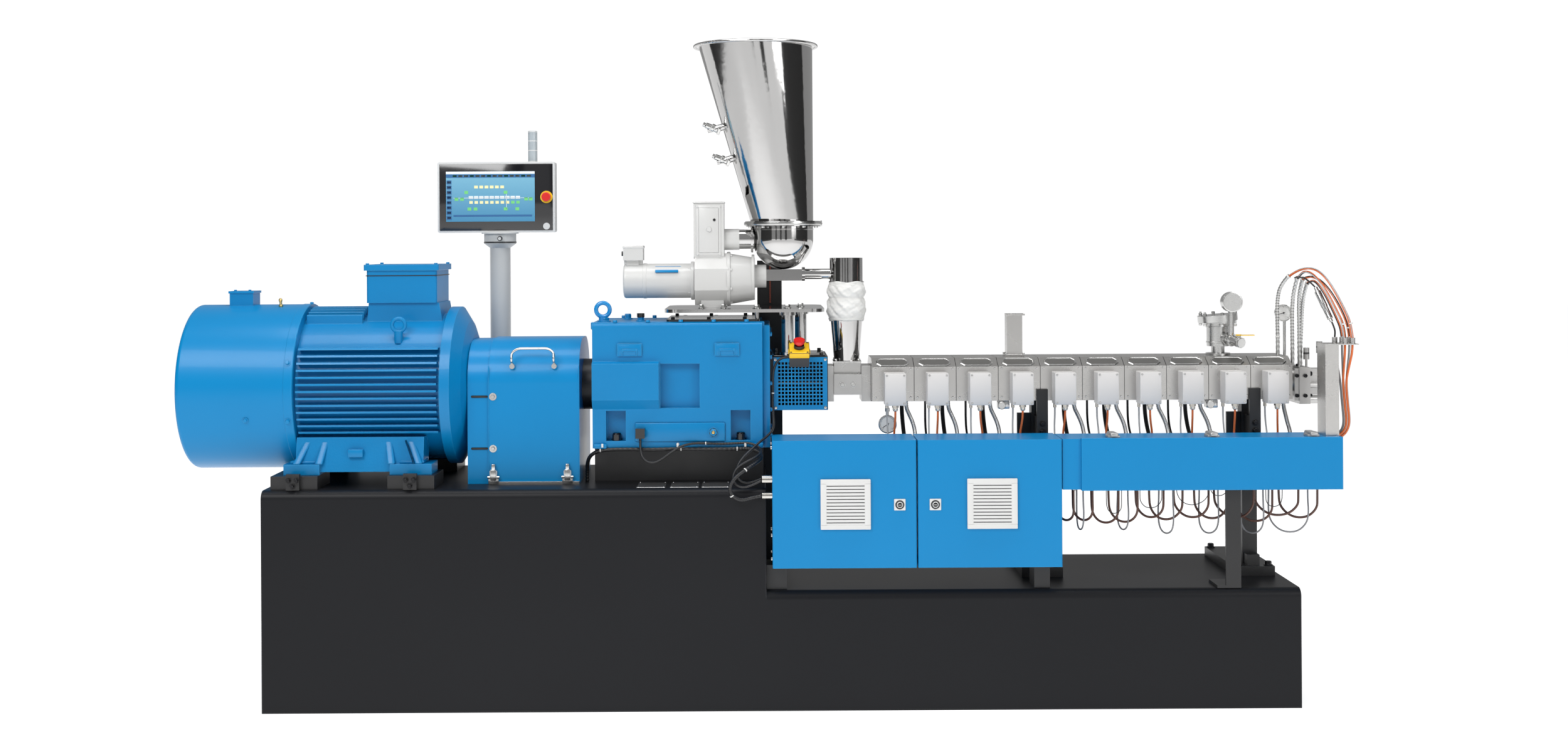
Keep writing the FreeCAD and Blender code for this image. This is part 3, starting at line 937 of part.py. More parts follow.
LOOP_ROUTES = {
    "power_loop_1": (7, [(878, -250, 645), (878, -250, 608), (879, -251, 568), (867, -235, 550),
                         (852, -214, 549), (840, -198, 567), (841, -199, 611), (841, -199, 655)]),
    "power_loop_2": (7, [(935, -250, 645), (935, -250, 609), (936, -251, 571), (922, -236, 550),
                         (903, -215, 549), (886, -200, 570), (885, -199, 613), (885, -199, 655)]),
    "power_loop_3": (7, [(1013, -250, 645), (1013, -250, 607), (1012, -251, 567), (992, -235, 542),
                         (963, -214, 541), (943, -200, 566), (941, -199, 611), (941, -199, 655)]),
    "power_loop_4": (7, [(1070, -250, 645), (1070, -250, 608), (1070, -251, 570), (1050, -235, 544),
                         (1020, -214, 543), (996, -200, 570), (993, -199, 613), (993, -199, 655)]),
    "power_loop_5": (7, [(1148, -250, 645), (1148, -250, 614), (1147, -250, 582), (1129, -235, 558),
                         (1100, -214, 556), (1078, -199, 581), (1075, -199, 619), (1075, -199, 655)]),
    "power_loop_6": (7, [(1205, -250, 645), (1205, -250, 614), (1203, -250, 581), (1176, -236, 551),
                         (1141, -215, 550), (1119, -200, 578), (1116, -199, 617), (1116, -199, 655)]),
    "power_loop_7": (7, [(1283, -250, 645), (1283, -250, 617), (1282, -251, 588), (1260, -237, 558),
                         (1222, -215, 555), (1193, -200, 584), (1190, -199, 620), (1190, -199, 655)]),
    "power_loop_8": (7, [(1339, -250, 645), (1339, -250, 615), (1338, -250, 583), (1316, -236, 554),
                         (1281, -214, 552), (1255, -200, 580), (1252, -199, 618), (1252, -199, 655)]),
    "power_loop_9": (7, [(1418, -250, 645), (1418, -250, 618), (1416, -250, 590), (1393, -237, 557),
                         (1350, -216, 555), (1316, -200, 587), (1312, -199, 622), (1312, -199, 655)]),
    "power_loop_10": (7, [(1474, -250, 645), (1474, -250, 610), (1473, -251, 574), (1449, -236, 545),
                          (1410, -215, 543), (1382, -200, 572), (1378, -199, 614), (1378, -199, 655)]),
    "power_loop_11": (7, [(1552, -250, 645), (1552, -250, 620), (1551, -250, 592), (1521, -236, 563),
                          (1474, -215, 560), (1439, -200, 590), (1434, -199, 623), (1434, -199, 655)]),
    "power_loop_12": (7, [(1609, -250, 645), (1609, -250, 616), (1608, -251, 585), (1583, -236, 555),
                          (1543, -215, 553), (1512, -200, 582), (1508, -199, 619), (1508, -199, 655)]),
    "signal_loop_1": (5, [(907, -250, 645), (907, -250, 610), (909, -252, 573), (907, -250, 537),
                          (904, -235, 522), (900, -214, 521), (898, -199, 536), (897, -197, 575),
                          (897, -199, 616), (897, -199, 655)]),
    "signal_loop_2": (5, [(1041, -250, 645), (1041, -250, 611), (1043, -252, 574), (1041, -250, 538),
                          (1035, -235, 521), (1027, -214, 520), (1021, -199, 537), (1019, -197, 576),
                          (1021, -199, 617), (1021, -199, 655)]),
    "signal_loop_3": (5, [(1176, -250, 645), (1176, -250, 606), (1178, -252, 566), (1176, -250, 526),
                          (1167, -235, 509), (1155, -214, 508), (1146, -199, 525), (1143, -197, 568),
                          (1146, -199, 613), (1146, -199, 655)]),
    "signal_loop_4": (5, [(1311, -250, 645), (1311, -250, 607), (1313, -252, 568), (1310, -250, 529),
                          (1297, -235, 509), (1279, -214, 508), (1268, -199, 528), (1266, -197, 570),
                          (1268, -199, 614), (1268, -199, 655)]),
    "signal_loop_5": (5, [(1446, -250, 645), (1446, -250, 607), (1448, -252, 568), (1445, -250, 529),
                          (1430, -235, 508), (1408, -214, 507), (1394, -199, 528), (1391, -197, 570),
                          (1393, -199, 614), (1393, -199, 655)]),
    "signal_loop_6": (5, [(1580, -250, 645), (1580, -250, 611), (1582, -252, 576), (1578, -250, 541),
                          (1552, -236, 511), (1510, -215, 510), (1481, -200, 540), (1477, -197, 580),
                          (1478, -199, 618), (1478, -199, 655)]),
    "thin_loop_1": (2.4, [(1020, -262, 655), (1020, -262, 622), (1020, -261, 588), (1007, -261, 575),
                          (989, -260, 575), (976, -259, 589), (975, -258, 622), (975, -258, 655)]),
    "thin_loop_2": (2.4, [(1140, -262, 655), (1140, -262, 632), (1139, -262, 609), (1121, -261, 591),
                          (1094, -260, 590), (1076, -260, 608), (1075, -261, 632), (1075, -261, 655)]),
    "thin_loop_3": (2.4, [(1283, -262, 655), (1283, -262, 627), (1253, -261, 600), (1213, -260, 598),
                          (1184, -260, 626), (1184, -260, 655)]),
    "thin_loop_4": (2.4, [(1346, -232, 655), (1346, -232, 637), (1330, -232, 622), (1309, -231, 621),
                          (1293, -230, 636), (1293, -230, 655)]),
    "thin_loop_5": (2.4, [(1500, -262, 655), (1500, -262, 631), (1499, -262, 607), (1486, -261, 593),
                          (1466, -260, 592), (1452, -260, 606), (1451, -261, 631), (1451, -261, 655)]),
}

# From the die head up through metal conduits, over the top and down to the glands on the riser.
CONDUIT_ROUTES = [
    [(1562, -20, 1030), (1562, -20, 1085), (1560, -23, 1145), (1559, -27, 1200), (1566, -36, 1248),
     (1586, -54, 1276)],
    [(1611, -10, 989), (1611, -10, 1050), (1609, -15, 1115), (1607, -22, 1175), (1608, -34, 1230),
     (1612, -58, 1270)],
    [(1634, -5, 993), (1634, -5, 1055), (1632, -12, 1120), (1628, -22, 1180), (1626, -36, 1232),
     (1628, -62, 1268)],
    [(1645, 18, 993), (1645, 18, 1055), (1645, 9, 1115), (1643, -6, 1170), (1642, -26, 1218),
     (1644, -54, 1254)],
]
HEAD_ROUTES = [
    [(1586, -54, 1276), (1602, -76, 1293), (1624, -108, 1303), (1642, -148, 1300), (1656, -190, 1279),
     (1670, -228, 1241), (1686, -258, 1192), (1702, -280, 1142), (1705, -284, 1097.5)],
    [(1612, -58, 1270), (1617, -84, 1288), (1623, -118, 1293), (1631, -156, 1285), (1641, -196, 1261),
     (1653, -232, 1224), (1666, -260, 1180), (1680, -280, 1140), (1683, -284, 1097.5)],
    [(1628, -62, 1268), (1635, -84, 1275), (1646, -112, 1276), (1659, -146, 1264), (1673, -180, 1238),
     (1687, -210, 1200), (1699, -233, 1161), (1707, -244, 1127), (1709, -246, 1097.5)],
    [(1644, -54, 1254), (1650, -78, 1263), (1652, -110, 1262), (1655, -144, 1248), (1661, -178, 1222),
     (1669, -208, 1186), (1678, -232, 1150), (1685, -244, 1123), (1687, -246, 1097.5)],
]
PROBE_LINE = [(1600, -74, 1272), (1606, -106, 1276), (1618, -144, 1268), (1630, -180, 1244)]
PROBE_TAIL = [(1660, -236, 1142), (1664, -243, 1128), (1667, -246, 1112), (1665, -246, 1097.5)]
RISER_TOPS = [(1665, -246, -9, 4), (1683, -284, -4.5, -5), (1687, -246, 0, 4), (1705, -284, 4.5, -5),
              (1709, -246, 9, 4)]


def make_cords():
    node("gearbox_cables", together("loom", *[tube(name, bore / 2, route)
                                              for name, (bore, route) in LOOM_ROUTES.items()]))
    node("trough_loops", together("loops", *[tube(name, bore / 2, route)
                                             for name, (bore, route) in LOOP_ROUTES.items()]))
    leads, hoses = [], []
    heater_lean = (-3, -1, 8, -6, -4, -2, 9, 2, 1, 5)
    sensor_lean = (1, -2, -2, -4, -5, 1, -2, -6, -2, -1)
    low = size("cover_bottom")
    for k in range(int(size("barrel_count"))):
        x = size("first_box") + k * size("barrel_pitch")
        beside_trough = x > size("trough_left")
        wall = -size("trough_back") if beside_trough else -size("cabinet_back")
        top = size("box_bottom") - 16
        lean = heater_lean[k % 10]
        leads.append(tube(f"heater_lead_{k + 1}", 3.2, [
            (x, -162, top), (x, -162, top - 20), (x + lean * 0.4, -155, top - 44), (x + lean, -147, 806),
            (x + lean, -145, 784), (x + lean, (wall - 145) / 2, 766), (x + lean, wall + 2, 760)]))
        top = low - 22
        lean = sensor_lean[k % 10]
        leads.append(tube(f"sensor_lead_{k + 1}", 2.5, [
            (x - 22, -107, top), (x - 22, -107, top - 24), (x - 22 + lean * 0.6, -115, top - 48),
            (x - 22 + lean, -127, 804), (x - 22 + lean, -137, 782), (x - 22 + lean, (wall - 138) / 2, 768),
            (x - 22 + lean, wall + 1.5, 762)]))
        if k not in (3, 8):
            drift = -14 if k == 9 else 0
            hoses.append(tube(f"metal_hose_{k + 1}", 6.5, [
                (x + 38, -96, low), (x + 38, -96, low - 22), (x + 48 + drift / 2, -104, low - 44),
                (x + 58 + drift, -113, low - 68), (x + 63 + drift, -121, low - 92), (x + 63 + drift, -134, low - 114),
                (x + 63 + drift, (wall - 134) / 2, low - 128), (x + 63 + drift, wall + 3.2, low - 134)]))
        if k not in (3, 8, 9):
            hoses.append(tube(f"black_hose_{k + 1}", 6.5, [
                (x + 40, 95, low), (x + 40, 95, low - 40), (x + 42, 85, low - 84), (x + 44, 58, low - 122),
                (x + 44, 8, low - 148), (x + 45, -52, low - 157), (x + 44, (wall - 58) / 2, low - 161),
                (x + 44, wall + 0.4, low - 162)]))
        if k in (1, 2, 5, 6, 7):
            leads.append(tube(f"pump_lead_{k + 1}", 3.6, [
                (x - 14, 95, low), (x - 14, 95, low - 38), (x - 15, 87, low - 76), (x - 16, 64, low - 108),
                (x - 16, 26, low - 132), (x - 16, -40, low - 143), (x - 16, -108, low - 146),
                (x - 16, wall + 0.4, low - 147)]))
    for name, x in (("first", size("first_box") + 338), ("second", size("first_box") + 979)):
        body = box(f"{name}_valve_body", (x - 18, x + 18), (-112, -84), ("cover_bottom - 26", "cover_bottom"))
        knob = rod(f"{name}_valve_knob", "y", 12, (-126, -112), (x - 8, "cover_bottom - 14"))
        hoses.append(fuse(f"{name}_valve", body, knob))
    gauge_x = "first_box - 18"
    hoses.append(fuse("line_gauge", rod("line_gauge_case", "y", 28.5, (-82, -66), (gauge_x, "cover_bottom - 74")),
                      rod("line_gauge_stem", "z", 5, ("cover_bottom - 60", "cover_bottom"), (gauge_x, -74))))
    node("barrel_leads", together("leads", *leads))
    node("coolant_hoses", together("hoses", *hoses))

    pieces = [tube(f"conduit_{k + 1}", 6, route) for k, route in enumerate(CONDUIT_ROUTES)]
    pieces += [tube(f"head_cable_{k + 1}", 3.4, route) for k, route in enumerate(HEAD_ROUTES)]
    start, finish = Vector(*PROBE_LINE[-1]), Vector(*PROBE_TAIL[0])
    heading = (finish - start) * 0.993
    start = finish - heading
    probe = doc.addObject("Part::Feature", "pressure_probe")
    probe.Shape = Part.makeCylinder(10, heading.Length, start, heading)
    probe.Placement = Placement()
    pieces += [tube("probe_line", 2.5, PROBE_LINE), probe, tube("probe_tail", 2.5, PROBE_TAIL)]
    pieces.append(fuse("head_gauge", rod("head_gauge_case", "y", 27, (2, 16), ("barrels_right + 9", "axis_level + 210")),
                       rod("head_gauge_stem", "z", 4.5, ("axis_level + adaptor_radius", "axis_level + 185"),
                           ("barrels_right + 13", 9))))
    for k, (x, y, dx, dy) in enumerate(RISER_TOPS):
        pieces.append(tube(f"riser_cable_{k + 1}", 3.4, [
            (x, y, 1077), (x, y, 1055), ((x + 1686 + dx) / 2, (y - 262 + dy) / 2, 1012), (1686 + dx, -262 + dy, 965),
            (1690 + dx, -263 + dy, 905), (1696 + dx, -262 + dy, 850), (1693 + dx, -260 + dy, 826),
            (1681.4 + 0.8 * dx, -257 + 1.1 * dy, 806.3 - 0.5 * dx), (1659, -254 + 1.2 * dy, 793.6 - 1.1 * dx)]))
    node("head_cables", together("head_loom", *pieces))


make_base()
make_motor()
make_coupling()
make_gearbox()
make_process()
make_vents()
make_die()
make_cabinets()
make_supports()
make_feeder()
make_controls()
make_cords()
doc.recompute()

failed = [item.Name for item in doc.Objects if {"Invalid", "Error"} & set(item.State)]
for name, item in nodes.items():
    if item.Shape.isNull() or not item.Shape.isValid() or item.Shape.Volume <= 0:
        failed.append(name)
if failed:
    raise RuntimeError("failed: " + ", ".join(failed))

os.makedirs("parts", exist_ok=True)
for name, item in nodes.items():
    item.Shape.exportStep(f"parts/{name}.step")
print(f"{len(nodes)} sub-parts, {sum(len(item.Shape.Solids) for item in nodes.values())} solids")
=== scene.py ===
import math

import bmesh
import bpy
from mathutils import Matrix, Vector


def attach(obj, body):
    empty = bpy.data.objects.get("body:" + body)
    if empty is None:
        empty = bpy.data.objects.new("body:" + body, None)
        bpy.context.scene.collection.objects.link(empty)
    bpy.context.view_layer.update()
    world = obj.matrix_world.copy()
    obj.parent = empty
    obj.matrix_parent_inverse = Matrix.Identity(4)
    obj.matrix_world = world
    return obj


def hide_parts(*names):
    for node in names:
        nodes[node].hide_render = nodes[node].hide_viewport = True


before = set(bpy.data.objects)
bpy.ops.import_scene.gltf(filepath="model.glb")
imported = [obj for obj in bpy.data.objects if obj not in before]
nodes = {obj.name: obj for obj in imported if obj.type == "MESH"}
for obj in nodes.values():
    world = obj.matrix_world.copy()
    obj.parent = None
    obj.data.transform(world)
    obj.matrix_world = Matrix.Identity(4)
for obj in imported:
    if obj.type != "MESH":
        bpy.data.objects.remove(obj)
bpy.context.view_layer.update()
scene = bpy.context.scene


# ------------------------------------------------------------------ camera, light and floor
# A bright studio: a level camera in front of the line, a pale floor that runs into a pale wall,
# and broad soft lights. Dark flags round the camera give the polished steel its dark edges.

camera_data = bpy.data.cameras.new("camera")
camera_data.lens = 39.45
camera_data.sensor_width = 36.0
camera_data.shift_x = 0.0155
camera_data.shift_y = -0.084
camera = bpy.data.objects.new("camera", camera_data)
camera.location = (-0.058, -5.4, 1.393)
camera.rotation_euler = (math.radians(90), 0.0057, 0)
scene.collection.objects.link(camera)
scene.camera = camera

studio = bpy.data.worlds.new("studio")
studio.use_nodes = True
studio_nodes, studio_link = studio.node_tree.nodes, studio.node_tree.links.new
seen_by, brightness = studio_nodes.new("ShaderNodeLightPath"), studio_nodes.new("ShaderNodeMapRange")
brightness.inputs["To Min"].default_value = 0.36
brightness.inputs["To Max"].default_value = 1.05
studio_nodes["Background"].inputs["Color"].default_value = (1.0, 1.0, 1.0, 1.0)
studio_link(seen_by.outputs["Is Camera Ray"], brightness.inputs["Value"])
studio_link(brightness.outputs["Result"], studio_nodes["Background"].inputs["Strength"])
scene.world = studio
scene.view_settings.view_transform = "Standard"


def add_light(name, place, aim, width, height, power):
    """A rectangular soft light that faces a point."""
    data = bpy.data.lights.new(name, "AREA")
    data.shape = "RECTANGLE"
    data.size = width
    data.size_y = height
    data.energy = power
    light = bpy.data.objects.new(name, data)
    light.location = place
    light.rotation_euler = (Vector(aim) - Vector(place)).to_track_quat("-Z", "Y").to_euler()
    scene.collection.objects.link(light)


add_light("key_light", (-2.6, -4.2, 4.4), (0.0, 0.0, 0.8), 3.2, 2.0, 170)
add_light("fill_light", (3.6, -3.6, 2.6), (0.2, 0.0, 0.8), 2.4, 2.4, 62)
add_light("top_light", (0.0, -0.6, 4.6), (0.0, 0.0, 0.8), 5.0, 1.2, 105)


def add_panel(name, corners, colour, glow=0.0):
    """A flat studio panel through four corners."""
    shape = bmesh.new()
    shape.faces.new([shape.verts.new(corner) for corner in corners])
    mesh = bpy.data.meshes.new(name)
    shape.to_mesh(mesh)
    shape.free()
    panel = bpy.data.objects.new(name, mesh)
    scene.collection.objects.link(panel)
    paint = bpy.data.materials.new(name + "_paint")
    paint.use_nodes = True
    paint.node_tree.nodes["Principled BSDF"].inputs["Base Color"].default_value = (*colour, 1.0)
    paint.node_tree.nodes["Principled BSDF"].inputs["Roughness"].default_value = 0.9
    paint.node_tree.nodes["Principled BSDF"].inputs["Emission Color"].default_value = (1.0, 1.0, 1.0, 1.0)
    paint.node_tree.nodes["Principled BSDF"].inputs["Emission Strength"].default_value = glow
    mesh.materials.append(paint)
    return panel


add_panel("floor", [(-30, -30, -0.001), (30, -30, -0.001), (30, 30, -0.001), (-30, 30, -0.001)], (0.8, 0.8, 0.8),
          0.72)
for number, (left, right, near, far) in enumerate(((-4.2, -4.2, -4.5, 1.2), (4.2, 4.2, -4.5, 1.2),
                                                   (-1.15, -0.55, -5.9, -5.9), (0.75, 1.5, -5.9, -5.9),
                                                   (-3.2, -2.6, -5.9, -5.9))):
    flag = add_panel(f"flag_{number + 1}",
                     [(left, near, 0.9), (right, far, 0.9), (right, far, 4.4), (left, near, 4.4)],
                     (0.02, 0.02, 0.02))
    flag.visible_camera = False


# ------------------------------------------------------------------ cables hanging under the wire trough
# Six groups of glands let round cables out of the trough. Each cable hangs in a free loop in front of
# the low block and goes back in behind its gland: brown supply cables, grey signal cables, thin wires.

def variation_group():
    """Shader group: slow patches of darker colour and uneven gloss over a surface."""
    group = bpy.data.node_groups.new("surface_variation", "ShaderNodeTree")
    for name, kind, value in (("Colour", "NodeSocketColor", (0.5, 0.5, 0.5, 1.0)),
                              ("Darkening", "NodeSocketFloat", 0.2), ("Patch Scale", "NodeSocketFloat", 8.0),
                              ("Roughness", "NodeSocketFloat", 0.4), ("Roughness Spread", "NodeSocketFloat", 0.1)):
        group.interface.new_socket(name, in_out="INPUT", socket_type=kind).default_value = value
    group.interface.new_socket("Colour", in_out="OUTPUT", socket_type="NodeSocketColor")
    group.interface.new_socket("Roughness", in_out="OUTPUT", socket_type="NodeSocketFloat")
    made, link = group.nodes, group.links.new
    source, result = made.new("NodeGroupInput"), made.new("NodeGroupOutput")
    place = made.new("ShaderNodeTexCoord")
    patches, darker, product, shade, gloss, spread = (
        made.new("ShaderNodeTexNoise"), made.new("ShaderNodeMath"), made.new("ShaderNodeMix"),
        made.new("ShaderNodeMath"), made.new("ShaderNodeMath"), made.new("ShaderNodeMath"))
    patches.inputs["Detail"].default_value = 5.0
    link(place.outputs["Object"], patches.inputs["Vector"])
    link(source.outputs["Patch Scale"], patches.inputs["Scale"])
    darker.operation = "MULTIPLY"
    link(patches.outputs["Fac"], darker.inputs[0])
    link(source.outputs["Darkening"], darker.inputs[1])
    product.data_type = "RGBA"
    link(darker.outputs[0], product.inputs["Factor"])
    link(source.outputs["Colour"], product.inputs["A"])
    product.inputs["B"].default_value = (0.0, 0.0, 0.0, 1.0)
    link(product.outputs["Result"], result.inputs["Colour"])
    shade.operation = "SUBTRACT"
    link(patches.outputs["Fac"], shade.inputs[0])
    shade.inputs[1].default_value = 0.5
    spread.operation = "MULTIPLY"
    link(shade.outputs[0], spread.inputs[0])
    link(source.outputs["Roughness Spread"], spread.inputs[1])
    gloss.operation = "ADD"
    gloss.use_clamp = True
    link(source.outputs["Roughness"], gloss.inputs[0])
    link(spread.outputs[0], gloss.inputs[1])
    link(gloss.outputs[0], result.inputs["Roughness"])
    return group


def grain_group():
    """Shader group: a height for brushed lines, cast skin or sheath texture, stretched along any axis."""
    group = bpy.data.node_groups.new("surface_grain", "ShaderNodeTree")
    group.interface.new_socket("Stretch", in_out="INPUT", socket_type="NodeSocketVector").default_value = (1, 1, 1)
    group.interface.new_socket("Scale", in_out="INPUT", socket_type="NodeSocketFloat").default_value = 300.0
    group.interface.new_socket("Detail", in_out="INPUT", socket_type="NodeSocketFloat").default_value = 2.0
    group.interface.new_socket("Height", in_out="OUTPUT", socket_type="NodeSocketFloat")
    made, link = group.nodes, group.links.new
    source, result = made.new("NodeGroupInput"), made.new("NodeGroupOutput")
    place, pull = made.new("ShaderNodeTexCoord"), made.new("ShaderNodeVectorMath")
    lines = made.new("ShaderNodeTexNoise")
    pull.operation = "MULTIPLY"
    link(place.outputs["Object"], pull.inputs[0])
    link(source.outputs["Stretch"], pull.inputs[1])
    link(pull.outputs["Vector"], lines.inputs["Vector"])
    link(source.outputs["Scale"], lines.inputs["Scale"])
    link(source.outputs["Detail"], lines.inputs["Detail"])
    link(lines.outputs["Fac"], result.inputs["Height"])
    return group


def edge_group():
    """Shader group: softens sharp edges and gives a mask along them, where a lighter colour is painted on as a
    highlight.
    """
    group = bpy.data.node_groups.new("edge_painted_highlight", "ShaderNodeTree")
    group.interface.new_socket("Radius", in_out="INPUT", socket_type="NodeSocketFloat").default_value = 0.001
    group.interface.new_socket("Normal", in_out="OUTPUT", socket_type="NodeSocketVector")
    group.interface.new_socket("Mask", in_out="OUTPUT", socket_type="NodeSocketFloat")
    made, link = group.nodes, group.links.new
    source, result = made.new("NodeGroupInput"), made.new("NodeGroupOutput")
    soft, flat, likeness, mask = (made.new("ShaderNodeBevel"), made.new("ShaderNodeNewGeometry"),
                                  made.new("ShaderNodeVectorMath"), made.new("ShaderNodeMapRange"))
    soft.samples = 4
    link(source.outputs["Radius"], soft.inputs["Radius"])
    likeness.operation = "DOT_PRODUCT"
    link(soft.outputs["Normal"], likeness.inputs[0])
    link(flat.outputs["Normal"], likeness.inputs[1])
    mask.inputs["From Min"].default_value = 0.98
    mask.inputs["From Max"].default_value = 0.8
    link(likeness.outputs["Value"], mask.inputs["Value"])
    link(soft.outputs["Normal"], result.inputs["Normal"])
    link(mask.outputs["Result"], result.inputs["Mask"])
    return group


patchy_colour, fine_grain, edge_highlights = variation_group(), grain_group(), edge_group()


def finish(name, colour, roughness, metallic=0.0, coat=0.0, darkening=0.15, patches=9.0, spread=0.12,
           stretch=(1, 1, 1), grain_scale=300.0, bump=0.05, edge=0.0, edge_colour=None, detail=2.0, shine=0.5):
    """One finish: a base colour with slow variation, a fine surface grain, and softened edges with a lighter colour
    painted along them as a highlight.
    """
    material = bpy.data.materials.new(name)
    material.use_nodes = True
    made, link = material.node_tree.nodes, material.node_tree.links.new
    surface = made["Principled BSDF"]
    surface.inputs["Metallic"].default_value = metallic
    surface.inputs["Coat Weight"].default_value = coat
    surface.inputs["Coat Roughness"].default_value = 0.08
    surface.inputs["Specular IOR Level"].default_value = shine
    uneven, lines, height = made.new("ShaderNodeGroup"), made.new("ShaderNodeGroup"), made.new("ShaderNodeBump")
    uneven.node_tree, lines.node_tree = patchy_colour, fine_grain
    for socket, value in (("Colour", (*colour, 1.0)), ("Darkening", darkening), ("Patch Scale", patches),
                          ("Roughness", roughness), ("Roughness Spread", spread)):
        uneven.inputs[socket].default_value = value
    lines.inputs["Stretch"].default_value = stretch
    lines.inputs["Scale"].default_value = grain_scale
    lines.inputs["Detail"].default_value = detail
    height.inputs["Strength"].default_value = bump
    height.inputs["Distance"].default_value = 0.002
    link(lines.outputs["Height"], height.inputs["Height"])
    link(height.outputs["Normal"], surface.inputs["Normal"])
    link(uneven.outputs["Roughness"], surface.inputs["Roughness"])
    if not edge:
        link(uneven.outputs["Colour"], surface.inputs["Base Color"])
        return material
    # Along the softened edges the colour turns to the lighter edge colour: a painted highlight.
    edge_light, tint = made.new("ShaderNodeGroup"), made.new("ShaderNodeMix")
    edge_light.node_tree = edge_highlights
    edge_light.inputs["Radius"].default_value = edge
    tint.data_type = "RGBA"
    link(edge_light.outputs["Normal"], height.inputs["Normal"])
    link(edge_light.outputs["Mask"], tint.inputs["Factor"])
    link(uneven.outputs["Colour"], tint.inputs["A"])
    tint.inputs["B"].default_value = (*(edge_colour or [0.5 * part + 0.2 for part in colour]), 1.0)
    link(tint.outputs["Result"], surface.inputs["Base Color"])
    return material


def smooth_line(name, points, bore, material):
    """A cable, hose or wire: one smooth line through the route's corners, with a round section."""
    line = bpy.data.curves.new(name, "CURVE")
    line.dimensions = "3D"
    spline = line.splines.new("NURBS")
    spline.points.add(len(points) - 1)
    for corner, point in zip(spline.points, points):
        corner.co = (*point, 1.0)
    spline.order_u = 3
    spline.use_endpoint_u = True
    line.resolution_u = 6
    line.bevel_depth = bore / 2
    line.bevel_resolution = 3
    line.use_fill_caps = True
    if material:
        line.materials.append(material)
    piece = bpy.data.objects.new(name, line)
    scene.collection.objects.link(piece)
    return piece


def fix(piece, slot, *stands_for, body="machine"):
    """Fastens a finished piece to its body and hides the nodes that it stands for. The slot is not used."""
    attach(piece, body)
    if stands_for:
        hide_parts(*stands_for)
    return piece


brown_sheath = finish("brown_sheath", (0.105, 0.045, 0.03), 0.38, darkening=0.25, patches=30, bump=0.03)
grey_sheath = finish("grey_sheath", (0.235, 0.235, 0.245), 0.42, darkening=0.2, patches=30, bump=0.03)
black_sheath = finish("black_sheath", (0.012, 0.012, 0.013), 0.35, darkening=0.2, patches=30, bump=0.03)

